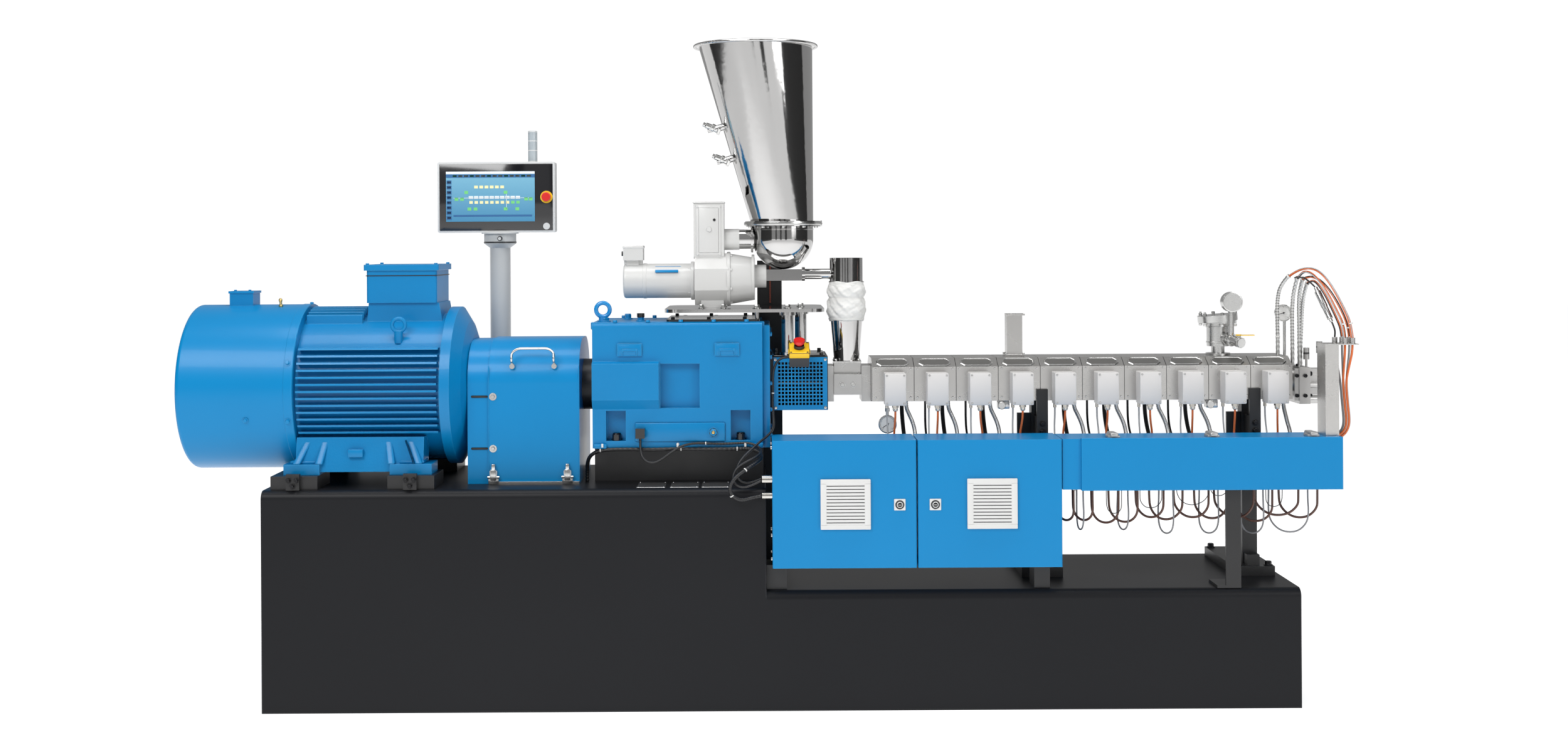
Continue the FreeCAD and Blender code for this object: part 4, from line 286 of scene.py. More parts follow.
HANGING = (
    ("power_loop", 0.007, brown_sheath, (
        (0.239, (
            (0.878, -0.25, 0.645), (0.878, -0.25, 0.608), (0.879, -0.251, 0.568), (0.867, -0.235, 0.55),
            (0.852, -0.214, 0.549), (0.84, -0.198, 0.567), (0.841, -0.199, 0.611), (0.841, -0.199, 0.655))),
        (0.242, (
            (0.935, -0.25, 0.645), (0.935, -0.25, 0.609), (0.936, -0.251, 0.571), (0.922, -0.236, 0.55),
            (0.903, -0.215, 0.549), (0.886, -0.2, 0.57), (0.885, -0.199, 0.613), (0.885, -0.199, 0.655))),
        (0.267, (
            (1.013, -0.25, 0.645), (1.013, -0.25, 0.607), (1.012, -0.251, 0.567), (0.992, -0.235, 0.542),
            (0.963, -0.214, 0.541), (0.943, -0.2, 0.566), (0.941, -0.199, 0.611), (0.941, -0.199, 0.655))),
        (0.265, (
            (1.07, -0.25, 0.645), (1.07, -0.25, 0.608), (1.07, -0.251, 0.57), (1.05, -0.235, 0.544),
            (1.02, -0.214, 0.543), (0.996, -0.2, 0.57), (0.993, -0.199, 0.613), (0.993, -0.199, 0.655))),
        (0.237, (
            (1.148, -0.25, 0.645), (1.148, -0.25, 0.614), (1.147, -0.25, 0.582), (1.129, -0.235, 0.558),
            (1.1, -0.214, 0.556), (1.078, -0.199, 0.581), (1.075, -0.199, 0.619), (1.075, -0.199, 0.655))),
        (0.257, (
            (1.205, -0.25, 0.645), (1.205, -0.25, 0.614), (1.203, -0.25, 0.581), (1.176, -0.236, 0.551),
            (1.141, -0.215, 0.55), (1.119, -0.2, 0.578), (1.116, -0.199, 0.617), (1.116, -0.199, 0.655))),
        (0.249, (
            (1.283, -0.25, 0.645), (1.283, -0.25, 0.617), (1.282, -0.251, 0.588), (1.26, -0.237, 0.558),
            (1.222, -0.215, 0.555), (1.193, -0.2, 0.584), (1.19, -0.199, 0.62), (1.19, -0.199, 0.655))),
        (0.252, (
            (1.339, -0.25, 0.645), (1.339, -0.25, 0.615), (1.338, -0.25, 0.583), (1.316, -0.236, 0.554),
            (1.281, -0.214, 0.552), (1.255, -0.2, 0.58), (1.252, -0.199, 0.618), (1.252, -0.199, 0.655))),
        (0.256, (
            (1.418, -0.25, 0.645), (1.418, -0.25, 0.618), (1.416, -0.25, 0.59), (1.393, -0.237, 0.557),
            (1.35, -0.216, 0.555), (1.316, -0.2, 0.587), (1.312, -0.199, 0.622), (1.312, -0.199, 0.655))),
        (0.275, (
            (1.474, -0.25, 0.645), (1.474, -0.25, 0.61), (1.473, -0.251, 0.574), (1.449, -0.236, 0.545),
            (1.41, -0.215, 0.543), (1.382, -0.2, 0.572), (1.378, -0.199, 0.614), (1.378, -0.199, 0.655))),
        (0.256, (
            (1.552, -0.25, 0.645), (1.552, -0.25, 0.62), (1.551, -0.25, 0.592), (1.521, -0.236, 0.563),
            (1.474, -0.215, 0.56), (1.439, -0.2, 0.59), (1.434, -0.199, 0.623), (1.434, -0.199, 0.655))),
        (0.259, (
            (1.609, -0.25, 0.645), (1.609, -0.25, 0.616), (1.608, -0.251, 0.585), (1.583, -0.236, 0.555),
            (1.543, -0.215, 0.553), (1.512, -0.2, 0.582), (1.508, -0.199, 0.619), (1.508, -0.199, 0.655))),
    )),
    ("signal_loop", 0.005, grey_sheath, (
        (0.288, (
            (0.907, -0.25, 0.645), (0.907, -0.25, 0.61), (0.909, -0.252, 0.573), (0.907, -0.25, 0.537),
            (0.904, -0.235, 0.522), (0.9, -0.214, 0.521), (0.898, -0.199, 0.536), (0.897, -0.197, 0.575),
            (0.897, -0.199, 0.616), (0.897, -0.199, 0.655))),
        (0.291, (
            (1.041, -0.25, 0.645), (1.041, -0.25, 0.611), (1.043, -0.252, 0.574), (1.041, -0.25, 0.538),
            (1.035, -0.235, 0.521), (1.027, -0.214, 0.52), (1.021, -0.199, 0.537), (1.019, -0.197, 0.576),
            (1.021, -0.199, 0.617), (1.021, -0.199, 0.655))),
        (0.318, (
            (1.176, -0.25, 0.645), (1.176, -0.25, 0.606), (1.178, -0.252, 0.566), (1.176, -0.25, 0.526),
            (1.167, -0.235, 0.509), (1.155, -0.214, 0.508), (1.146, -0.199, 0.525), (1.143, -0.197, 0.568),
            (1.146, -0.199, 0.613), (1.146, -0.199, 0.655))),
        (0.322, (
            (1.311, -0.25, 0.645), (1.311, -0.25, 0.607), (1.313, -0.252, 0.568), (1.31, -0.25, 0.529),
            (1.297, -0.235, 0.509), (1.279, -0.214, 0.508), (1.268, -0.199, 0.528), (1.266, -0.197, 0.57),
            (1.268, -0.199, 0.614), (1.268, -0.199, 0.655))),
        (0.328, (
            (1.446, -0.25, 0.645), (1.446, -0.25, 0.607), (1.448, -0.252, 0.568), (1.445, -0.25, 0.529),
            (1.43, -0.235, 0.508), (1.408, -0.214, 0.507), (1.394, -0.199, 0.528), (1.391, -0.197, 0.57),
            (1.393, -0.199, 0.614), (1.393, -0.199, 0.655))),
        (0.346, (
            (1.58, -0.25, 0.645), (1.58, -0.25, 0.611), (1.582, -0.252, 0.576), (1.578, -0.25, 0.541),
            (1.552, -0.236, 0.511), (1.51, -0.215, 0.51), (1.481, -0.2, 0.54), (1.477, -0.197, 0.58),
            (1.478, -0.199, 0.618), (1.478, -0.199, 0.655))),
    )),
    ("thin_loop", 0.0024, black_sheath, (
        (0.185, (
            (1.02, -0.262, 0.655), (1.02, -0.262, 0.622), (1.02, -0.261, 0.588), (1.007, -0.261, 0.575),
            (0.989, -0.26, 0.575), (0.976, -0.259, 0.589), (0.975, -0.258, 0.622), (0.975, -0.258, 0.655))),
        (0.167, (
            (1.14, -0.262, 0.655), (1.14, -0.262, 0.632), (1.139, -0.262, 0.609), (1.121, -0.261, 0.591),
            (1.094, -0.26, 0.59), (1.076, -0.26, 0.608), (1.075, -0.261, 0.632), (1.075, -0.261, 0.655))),
        (0.171, (
            (1.283, -0.262, 0.655), (1.283, -0.262, 0.627), (1.253, -0.261, 0.6), (1.213, -0.26, 0.598),
            (1.184, -0.26, 0.626), (1.184, -0.26, 0.655))),
        (0.098, (
            (1.346, -0.232, 0.655), (1.346, -0.232, 0.637), (1.33, -0.232, 0.622), (1.309, -0.231, 0.621),
            (1.293, -0.23, 0.636), (1.293, -0.23, 0.655))),
        (0.153, (
            (1.5, -0.262, 0.655), (1.5, -0.262, 0.631), (1.499, -0.262, 0.607), (1.486, -0.261, 0.593),
            (1.466, -0.26, 0.592), (1.452, -0.26, 0.606), (1.451, -0.261, 0.631), (1.451, -0.261, 0.655))),
    )),
)

for family, bore, sheath, runs in HANGING:
    for number, (length, route) in enumerate(runs, 1):
        cable = smooth_line(f"{family}_{number}", route, bore, sheath)
        fix(cable, "brown_cable", "trough_loops")


# ------------------------------------------------------------------ looms beside the gearbox
# The motor lead, a sensor lead and the stop-box lead run in black ribbed nylon conduit along the gearbox,
# round its end and back in a loop to the glands of the left cabinet, held by white clips and ties.

white_nylon = finish("white_nylon", (0.72, 0.72, 0.7), 0.45, darkening=0.1, bump=0.02)


def centre_line(cable):
    """The points along a cable's own smooth line, and its heading at each."""
    bare = cable.data.copy()
    bare.bevel_depth = 0.0
    bare.use_fill_caps = False
    probe = bpy.data.objects.new("bare_line", bare)
    mesh = bpy.data.meshes.new_from_object(probe)
    points = [corner.co.copy() for corner in mesh.vertices]
    bpy.data.objects.remove(probe)
    bpy.data.meshes.remove(mesh)
    headings = [(points[min(k + 1, len(points) - 1)] - points[max(k - 1, 0)]).normalized()
                for k in range(len(points))]
    return points, headings


def crossways(headings):
    """Two directions across a line at each of its points, carried along without twist."""
    side = headings[0].orthogonal().normalized()
    pairs = []
    for heading in headings:
        side = (side - heading * side.dot(heading)).normalized()
        pairs.append((side.copy(), heading.cross(side)))
    return pairs


def add_skin(shape, points, headings, radii, sides=12):
    """A round skin along a line, with a radius for each of its points."""
    rings = []
    for point, (side, across), radius in zip(points, crossways(headings), radii):
        ring = bmesh.ops.create_circle(shape, segments=sides, radius=radius)["verts"]
        turn = Matrix((side, across, side.cross(across))).transposed().to_4x4()
        bmesh.ops.transform(shape, matrix=Matrix.Translation(point) @ turn, verts=ring)
        rings.append(ring)
    loops = [[shape.edges.get((ring[k - 1], ring[k])) for k in range(sides)] for ring in rings]
    for one, other in zip(loops, loops[1:]):
        bmesh.ops.bridge_loops(shape, edges=one + other)
    shape.faces.new(rings[0])
    shape.faces.new(rings[-1])


def piece_from(name, shape, *finishes, smooth=35):
    """Turns a finished bmesh into a piece with smooth faces between its sharp edges."""
    bmesh.ops.recalc_face_normals(shape, faces=shape.faces)
    mesh = bpy.data.meshes.new(name)
    shape.to_mesh(mesh)
    shape.free()
    mesh.shade_smooth()
    mesh.set_sharp_from_angle(angle=math.radians(smooth))
    for each in finishes:
        mesh.materials.append(each)
    piece = bpy.data.objects.new(name, mesh)
    scene.collection.objects.link(piece)
    return piece


def fit_piece(name, shape, surface, slot, *stands_for, body="machine", smooth=35):
    """Makes a finished bmesh into a piece and fastens it to its body."""
    finishes = surface if isinstance(surface, tuple) else (surface,)
    return fix(piece_from(name, shape, *finishes, smooth=smooth), slot, *stands_for, body=body)


def add_ribbed(name, route, bore, sheath, slot, *stands_for):
    """A ribbed conduit: a round skin whose radius rises and falls along the route's own smooth line."""
    guide = smooth_line("ribbed_guide", route, bore, None)
    guide.data.resolution_u = 20
    points, headings = centre_line(guide)
    bpy.data.objects.remove(guide)
    skin = bmesh.new()
    add_skin(skin, points, headings, [bore / 2 if k % 4 in (1, 2) else 0.44 * bore for k in range(len(points))])
    return fit_piece(name, skin, sheath, slot, *stands_for, smooth=60)


LOOMED = [
    ("motor_lead", 0.012, [
        (-0.592, -0.118, 0.66), (-0.592, -0.118, 0.688), (-0.59, -0.138, 0.72), (-0.577, -0.166, 0.747),
        (-0.545, -0.186, 0.764), (-0.48, -0.191, 0.767), (-0.39, -0.19, 0.765), (-0.3, -0.191, 0.767),
        (-0.21, -0.19, 0.765), (-0.13, -0.19, 0.766), (-0.088, -0.194, 0.768), (-0.06, -0.212, 0.758),
        (-0.056, -0.246, 0.744), (-0.074, -0.284, 0.734), (-0.104, -0.314, 0.718), (-0.136, -0.328, 0.696),
        (-0.152, -0.332, 0.669), (-0.144, -0.332, 0.644), (-0.118, -0.326, 0.628), (-0.085, -0.315, 0.636),
        (-0.056, -0.313, 0.641)]),
    ("sensor_lead", 0.008, [
        (-0.423, -0.196, 0.8), (-0.423, -0.196, 0.786), (-0.422, -0.205, 0.766), (-0.417, -0.213, 0.746),
        (-0.402, -0.217, 0.73), (-0.378, -0.217, 0.727), (-0.354, -0.212, 0.74), (-0.33, -0.208, 0.758),
        (-0.302, -0.203, 0.775), (-0.268, -0.196, 0.784), (-0.225, -0.191, 0.783), (-0.178, -0.19, 0.781),
        (-0.13, -0.191, 0.783), (-0.092, -0.197, 0.785), (-0.062, -0.216, 0.774), (-0.056, -0.25, 0.761),
        (-0.074, -0.282, 0.751), (-0.102, -0.3, 0.74), (-0.129, -0.309, 0.724), (-0.141, -0.313, 0.703),
        (-0.138, -0.316, 0.68), (-0.118, -0.318, 0.665), (-0.086, -0.316, 0.671), (-0.057, -0.313, 0.686)]),
    ("stop_lead", 0.008, [
        (0.03, -0.169, 1.041), (0.013, -0.169, 1.041), (-0.004, -0.166, 1.032), (-0.015, -0.157, 1.012),
        (-0.02, -0.149, 0.986), (-0.02, -0.143, 0.948), (-0.022, -0.142, 0.9), (-0.02, -0.146, 0.862),
        (-0.018, -0.16, 0.836), (-0.024, -0.18, 0.817), (-0.042, -0.204, 0.802), (-0.06, -0.232, 0.792),
        (-0.08, -0.258, 0.777), (-0.102, -0.278, 0.76), (-0.122, -0.291, 0.738), (-0.133, -0.298, 0.713),
        (-0.127, -0.303, 0.69), (-0.106, -0.301, 0.676), (-0.08, -0.292, 0.679), (-0.057, -0.285, 0.687)]),
]
for name, bore, route in LOOMED:
    add_ribbed(name, route, bore, black_sheath, "black_cable", "gearbox_cables")


def add_ring(shape, point, heading, radius, width, thick=0.0012):
    """A flat tie or band pulled round a bundle."""
    ring = bmesh.ops.create_circle(shape, segments=20, radius=radius)
    edges = list(dict.fromkeys(edge for corner in ring["verts"] for edge in corner.link_edges))
    side = heading.orthogonal().normalized()
    across = heading.cross(side)
    turn = Matrix((side, across, heading)).transposed().to_4x4()
    pulled = bmesh.ops.extrude_edge_only(shape, edges=edges)["geom"]
    moved = [item for item in pulled if isinstance(item, bmesh.types.BMVert)]
    bmesh.ops.translate(shape, vec=(0, 0, width), verts=moved)
    faces = list(dict.fromkeys(face for corner in moved for face in corner.link_faces))
    bmesh.ops.recalc_face_normals(shape, faces=faces)
    thickened = bmesh.ops.solidify(shape, geom=faces, thickness=thick)["geom"]
    every = list({corner for item in thickened if isinstance(item, bmesh.types.BMFace) for corner in item.verts}
                 | set(ring["verts"]) | set(moved))
    bmesh.ops.transform(shape, matrix=Matrix.Translation(Vector(point)) @ turn, verts=every)


ties = bmesh.new()
for point, heading, radius in (((-0.545, -0.186, 0.764), (1, 0, 0), 0.0066),
                               ((-0.3, -0.191, 0.767), (1, 0, 0), 0.0066),
                               ((-0.13, -0.19, 0.766), (1, 0, 0), 0.0066),
                               ((-0.104, -0.314, 0.718), (-0.7, -0.3, -0.6), 0.0066),
                               ((-0.144, -0.332, 0.644), (0.5, 0.1, -0.8), 0.0066),
                               ((-0.225, -0.191, 0.783), (1, 0, 0), 0.0046),
                               ((-0.02, -0.143, 0.93), (0, 0, 1), 0.0046)):
    add_ring(ties, Vector(point) - Vector(heading) * 0.0015, Vector(heading).normalized(), radius, 0.003)
fit_piece("loom_ties", ties, white_nylon, "black_cable", "gearbox_cables")


# ------------------------------------------------------------------ leads and hoses under the barrels
# Each barrel has an orange silicone heater lead, a grey sensor lead, a corrugated steel cooling hose and a
# black rubber return hose. They drop from the barrel, bend back and enter the cabinets and the trough.

orange_silicone = finish("orange_silicone", (0.72, 0.155, 0.035), 0.5, darkening=0.2, patches=50, bump=0.05)
sensor_sheath = finish("sensor_sheath", (0.42, 0.43, 0.44), 0.5, darkening=0.2, patches=60, bump=0.05)
black_rubber = finish("black_rubber", (0.015, 0.015, 0.016), 0.55, darkening=0.25, patches=40, bump=0.08)
hose_steel = finish("hose_steel", (0.62, 0.62, 0.61), 0.3, metallic=1.0, darkening=0.3, patches=60, bump=0.05)
drawn_steel = finish("drawn_steel", (0.66, 0.66, 0.65), 0.24, metallic=1.0, darkening=0.15, patches=14, edge=0.0006)
process_blue = finish("process_blue", (0.0, 0.215, 0.5), 0.32, coat=0.08, shine=0.22, darkening=0.1, patches=3,
                      spread=0.05, grain_scale=650, bump=0.06, edge=0.0016, edge_colour=(0.05, 0.36, 0.68))

barrel_pitch, first_box = 0.1294, 0.3527
heater_lean = (-0.003, -0.001, 0.008, -0.006, -0.004, -0.002, 0.009, 0.002, 0.001, 0.005)
sensor_lean = (0.001, -0.002, -0.002, -0.004, -0.005, 0.001, -0.002, -0.006, -0.002, -0.001)
for number in range(10):
    middle = first_box + barrel_pitch * number
    wall = -0.16 if middle < 0.834 else -0.18
    lean = heater_lean[number]
    fix(smooth_line(f"heater_lead_{number + 1}", [
        (middle, -0.162, 0.876), (middle, -0.162, 0.856), (middle + 0.4 * lean, -0.155, 0.832),
        (middle + lean, -0.147, 0.806), (middle + lean, -0.145, 0.784), (middle + lean, (wall - 0.145) / 2, 0.766),
        (middle + lean, wall + 0.002, 0.76)], 0.0064, orange_silicone), "orange_cable", "barrel_leads")
    at, lean = middle - 0.022, sensor_lean[number]
    fix(smooth_line(f"sensor_lead_{number + 1}", [
        (at, -0.107, 0.878), (at, -0.107, 0.854), (at + 0.6 * lean, -0.115, 0.83), (at + lean, -0.127, 0.804),
        (at + lean, -0.137, 0.782), (at + lean, (wall - 0.138) / 2, 0.768), (at + lean, wall + 0.0015, 0.762)],
        0.005, sensor_sheath), "orange_cable", "barrel_leads")
    if number not in (3, 8):
        at = middle + 0.063 - (0.014 if number == 9 else 0)
        add_ribbed(f"metal_hose_{number + 1}", [(middle + 0.038, -0.096, 0.9), (middle + 0.038, -0.096, 0.878),
                                                ((middle + 0.033 + at) / 2, -0.104, 0.856),
                                                (at - 0.005, -0.113, 0.832), (at, -0.121, 0.808),
                                                (at, -0.134, 0.786), (at, (wall - 0.134) / 2, 0.772),
                                                (at, wall + 0.0032, 0.766)], 0.013, hose_steel, "steel_hose",
                   "coolant_hoses")
    if number not in (3, 8, 9):
        fix(smooth_line(f"black_hose_{number + 1}", [(middle + 0.04, 0.095, 0.9), (middle + 0.04, 0.095, 0.86),
                                                     (middle + 0.042, 0.085, 0.816), (middle + 0.044, 0.058, 0.778),
                                                     (middle + 0.044, 0.008, 0.752),
                                                     (middle + 0.045, -0.052, 0.743),
                                                     (middle + 0.044, (wall - 0.058) / 2, 0.739),
                                                     (middle + 0.044, wall + 0.0004, 0.738)], 0.013, black_rubber),
            "steel_hose", "coolant_hoses")
    if number in (1, 2, 5, 6, 7):
        fix(smooth_line(f"pump_lead_{number + 1}", [
            (middle - 0.014, 0.095, 0.9), (middle - 0.014, 0.095, 0.862), (middle - 0.015, 0.087, 0.824),
            (middle - 0.016, 0.064, 0.792), (middle - 0.016, 0.026, 0.768), (middle - 0.016, -0.04, 0.757),
            (middle - 0.016, -0.108, 0.754), (middle - 0.016, wall + 0.0004, 0.753)], 0.0072, black_sheath),
            "orange_cable", "barrel_leads")


def add_round(shape, profile, base, axis=(0, 0, 1), sides=32):
    """Turns a profile of (radius, height) pairs round an axis, as on a lathe."""
    up = Vector(axis).normalized()
    side = up.orthogonal().normalized()
    corners = [shape.verts.new(Vector(base) + side * radius + up * height) for radius, height in profile]
    edges = [shape.edges.new(pair) for pair in zip(corners, corners[1:])]
    bmesh.ops.spin(shape, geom=corners + edges, cent=base, axis=up, angle=2 * math.pi, steps=sides, use_merge=True)
    poles = [corner for corner in shape.verts if (corner.co - Vector(base)).cross(up).length < 1e-7]
    bmesh.ops.remove_doubles(shape, verts=poles, dist=1e-7)


def add_block(shape, low, high, edge=0.002, segments=2, turn=None, finish_number=0):
    """A block between two corners, with rounded edges, turned about its middle if asked."""
    low, high = Vector(low), Vector(high)
    made = bmesh.ops.create_cube(shape, size=1.0)["verts"]
    bmesh.ops.scale(shape, vec=high - low, verts=made)
    if edge:
        edges = list(dict.fromkeys(line for corner in made for line in corner.link_edges))
        made = bmesh.ops.bevel(shape, geom=edges, offset=edge, offset_type="OFFSET", segments=segments, profile=0.5,
                               affect="EDGES", material=-1)["verts"] or made
    if turn is not None:
        bmesh.ops.transform(shape, matrix=turn.to_4x4(), verts=made)
    bmesh.ops.translate(shape, vec=(low + high) / 2, verts=made)
    for face in {face for corner in made for face in corner.link_faces}:
        face.material_index = finish_number
    return made


valves = bmesh.new()
for middle in (0.6907, 1.3317):
    add_block(valves, (middle - 0.018, -0.112, 0.874), (middle + 0.018, -0.084, 0.8995), 0.003)
    add_round(valves,
              [(0, 0), (0.008, 0), (0.008, 0.003), (0.0118, 0.004), (0.012, 0.012), (0.0105, 0.0139), (0, 0.0139)],
              (middle - 0.008, -0.112, 0.886), (0, -1, 0), 24)
fit_piece("cooling_valves", valves, drawn_steel, "steel_hose", "coolant_hoses")


# ------------------------------------------------------------------ gauges
# Dial gauges in bright cases: a white face with plain ticks round its edge and a black pointer.

dial_white = finish("dial_white", (0.8, 0.8, 0.78), 0.4, darkening=0.03, bump=0.0)
dial_black = finish("dial_black", (0.012, 0.012, 0.012), 0.4, darkening=0.1, bump=0.02)


def add_gauge(name, middle, radius, depth, stem, pointer_turn, slot, *stands_for):
    """A dial gauge that faces the operator: case, rim, face, ticks and pointer, with its stem below."""
    x, front, z = middle
    back = front + depth
    case = bmesh.new()
    add_round(case, [(0, 0), (0.9 * radius, 0), (0.97 * radius, 0.15 * depth), (0.97 * radius, 0.8 * depth),
                     (radius, 0.82 * depth), (radius, 0.98 * depth), (0.96 * radius, depth), (0.89 * radius, depth),
                     (0.87 * radius, 0.84 * depth), (0, 0.84 * depth)], (x, back, z), (0, -1, 0), 48)
    add_round(case, stem[0], stem[1], stem[2], 16)
    fit_piece(name + "_case", case, drawn_steel, slot, *stands_for)
    face = bmesh.new()
    level = back - 0.86 * depth
    add_round(face, [(0, 0), (0.87 * radius, 0), (0.87 * radius, 0.0004), (0, 0.0004)], (x, level, z), (0, -1, 0),
              48)
    fit_piece(name + "_dial", face, dial_white, slot, *stands_for)
    marks = bmesh.new()
    for number in range(25):
        turn = math.radians(225 - 270 * number / 24)
        long = 0.16 if number % 6 == 0 else 0.09
        spot = (0.82 - long / 2) * radius
        made = add_block(marks, (-long * radius / 2, -0.0002, -0.0005), (long * radius / 2, 0.0002, 0.0005), 0)
        bmesh.ops.rotate(marks, matrix=Matrix.Rotation(-turn, 3, "Y"), verts=made)
        bmesh.ops.translate(marks, vec=(x + spot * math.cos(turn), level - 0.0006, z + spot * math.sin(turn)),
                            verts=made)
    turn = math.radians(pointer_turn)
    made = add_block(marks, (-0.18 * radius, -0.0003, -0.0007), (0.66 * radius, 0.0003, 0.0007), 0)
    bmesh.ops.rotate(marks, matrix=Matrix.Rotation(-turn, 3, "Y"), verts=made)
    bmesh.ops.translate(marks, vec=(x, level - 0.0012, z), verts=made)
    add_round(marks, [(0, 0), (0.1 * radius, 0), (0.09 * radius, 0.0012), (0, 0.0014)], (x, level - 0.0008, z),
              (0, -1, 0), 20)
    fit_piece(name + "_marks", marks, dial_black, slot, *stands_for)


add_gauge("line_gauge", (0.3347, -0.082, 0.826), 0.0285, 0.016, ([(0, 0), (0.005, 0), (0.005, 0.014),
                                                                  (0.0075, 0.014), (0.0075, 0.024), (0.005, 0.024),
                                                                  (0.005, 0.049), (0, 0.049)],
                                                                 (0.3347, -0.074, 0.851), (0, 0, 1)), 215,
          "steel_hose", "coolant_hoses")


# ------------------------------------------------------------------ sensor and heater leads of the die head
# Four bundles of orange and grey leads leave the head through bright flexible conduits, arch over the top
# with white ties and come down to the riser's glands. A pressure probe hangs in its own thin line.

CONDUIT_RUNS = [
    [(1.562, -0.02, 1.03), (1.562, -0.02, 1.085), (1.56, -0.023, 1.145), (1.559, -0.027, 1.2),
     (1.566, -0.036, 1.248), (1.586, -0.054, 1.276)],
    [(1.611, -0.01, 0.989), (1.611, -0.01, 1.05), (1.609, -0.015, 1.115), (1.607, -0.022, 1.175),
     (1.608, -0.034, 1.23), (1.612, -0.058, 1.27)],
    [(1.634, -0.005, 0.993), (1.634, -0.005, 1.055), (1.632, -0.012, 1.12), (1.628, -0.022, 1.18),
     (1.626, -0.036, 1.232), (1.628, -0.062, 1.268)],
    [(1.645, 0.018, 0.993), (1.645, 0.018, 1.055), (1.645, 0.009, 1.115), (1.643, -0.006, 1.17),
     (1.642, -0.026, 1.218), (1.644, -0.054, 1.254)],
]
HEAD_RUNS = [
    [(1.586, -0.054, 1.276), (1.602, -0.076, 1.293), (1.624, -0.108, 1.303), (1.642, -0.148, 1.3),
     (1.656, -0.19, 1.279), (1.67, -0.228, 1.241), (1.686, -0.258, 1.192), (1.702, -0.28, 1.142),
     (1.705, -0.284, 1.0975)],
    [(1.612, -0.058, 1.27), (1.617, -0.084, 1.288), (1.623, -0.118, 1.293), (1.631, -0.156, 1.285),
     (1.641, -0.196, 1.261), (1.653, -0.232, 1.224), (1.666, -0.26, 1.18), (1.68, -0.28, 1.14),
     (1.683, -0.284, 1.0975)],
    [(1.628, -0.062, 1.268), (1.635, -0.084, 1.275), (1.646, -0.112, 1.276), (1.659, -0.146, 1.264),
     (1.673, -0.18, 1.238), (1.687, -0.21, 1.2), (1.699, -0.233, 1.161), (1.707, -0.244, 1.127),
     (1.709, -0.246, 1.0975)],
    [(1.644, -0.054, 1.254), (1.65, -0.078, 1.263), (1.652, -0.11, 1.262), (1.655, -0.144, 1.248),
     (1.661, -0.178, 1.222), (1.669, -0.208, 1.186), (1.678, -0.232, 1.15), (1.685, -0.244, 1.123),
     (1.687, -0.246, 1.0975)],
]
for number, (conduit, lead) in enumerate(zip(CONDUIT_RUNS, HEAD_RUNS)):
    add_ribbed(f"head_conduit_{number + 1}", conduit, 0.012, hose_steel, "steel_hose", "head_cables")
    for strand in range(3):
        shift = Vector(((strand - 1) * 0.0024, 0.0, (strand % 2) * 0.0036 - 0.0018))
        sheath = (orange_silicone, sensor_sheath, orange_silicone, black_sheath)[(number + strand) % 4]
        fix(smooth_line(f"head_lead_{number + 1}_{strand + 1}", [Vector(point) + shift for point in lead], 0.0034,
                        sheath), "steel_hose", "head_cables")

head_ties = bmesh.new()
for point, heading, radius in (((1.562, -0.02, 1.085), (0, 0, 1), 0.0072),
                               ((1.586, -0.054, 1.276), (0.6, -0.5, 0.6), 0.0072),
                               ((1.612, -0.058, 1.27), (0.2, -0.8, 0.6), 0.0072),
                               ((1.628, -0.062, 1.268), (0.2, -0.9, 0.3), 0.0072),
                               ((1.644, -0.054, 1.254), (0.2, -0.8, 0.4), 0.0072),
                               ((1.702, -0.28, 1.142), (0.1, -0.1, -1), 0.0056),
                               ((1.68, -0.28, 1.14), (0.1, -0.1, -1), 0.0056),
                               ((1.707, -0.244, 1.127), (0, -0.1, -1), 0.0056)):
    add_ring(head_ties, point, Vector(heading).normalized(), radius, 0.004)
fit_piece("head_ties", head_ties, white_nylon, "steel_hose", "head_cables")

probe_top, probe_low = Vector((1.63, -0.18, 1.244)), Vector((1.66, -0.236, 1.142))
fix(smooth_line("probe_line", [(1.6, -0.074, 1.272), (1.606, -0.106, 1.276), (1.618, -0.144, 1.268), probe_top],
                0.005, black_sheath), "steel_hose", "head_cables")
fix(smooth_line("probe_tail", [probe_low, (1.664, -0.243, 1.128), (1.667, -0.246, 1.112), (1.665, -0.246, 1.0975)],
                0.005, black_sheath), "steel_hose", "head_cables")
probe = bmesh.new()
reach = (probe_low - probe_top).length
add_round(probe, [(0, 0), (0.006, 0), (0.006, 0.1 * reach), (0.0098, 0.12 * reach), (0.0098, 0.55 * reach),
                  (0.0086, 0.57 * reach), (0.0086, 0.9 * reach), (0.005, 0.92 * reach), (0.005, 0.99 * reach),
                  (0, 0.99 * reach)], probe_top, probe_low - probe_top, 24)
fit_piece("pressure_probe", probe, drawn_steel, "steel_hose", "head_cables")

add_gauge("head_gauge", (1.588, 0.002, 1.16), 0.027, 0.014, ([(0, 0), (0.0045, 0), (0.0045, 0.02), (0.008, 0.02),
                                                              (0.008, 0.032), (0.0045, 0.032), (0.0045, 0.144),
                                                              (0, 0.144)], (1.592, 0.009, 0.99), (0, 0, 1)), 195,
          "steel_hose", "head_cables")

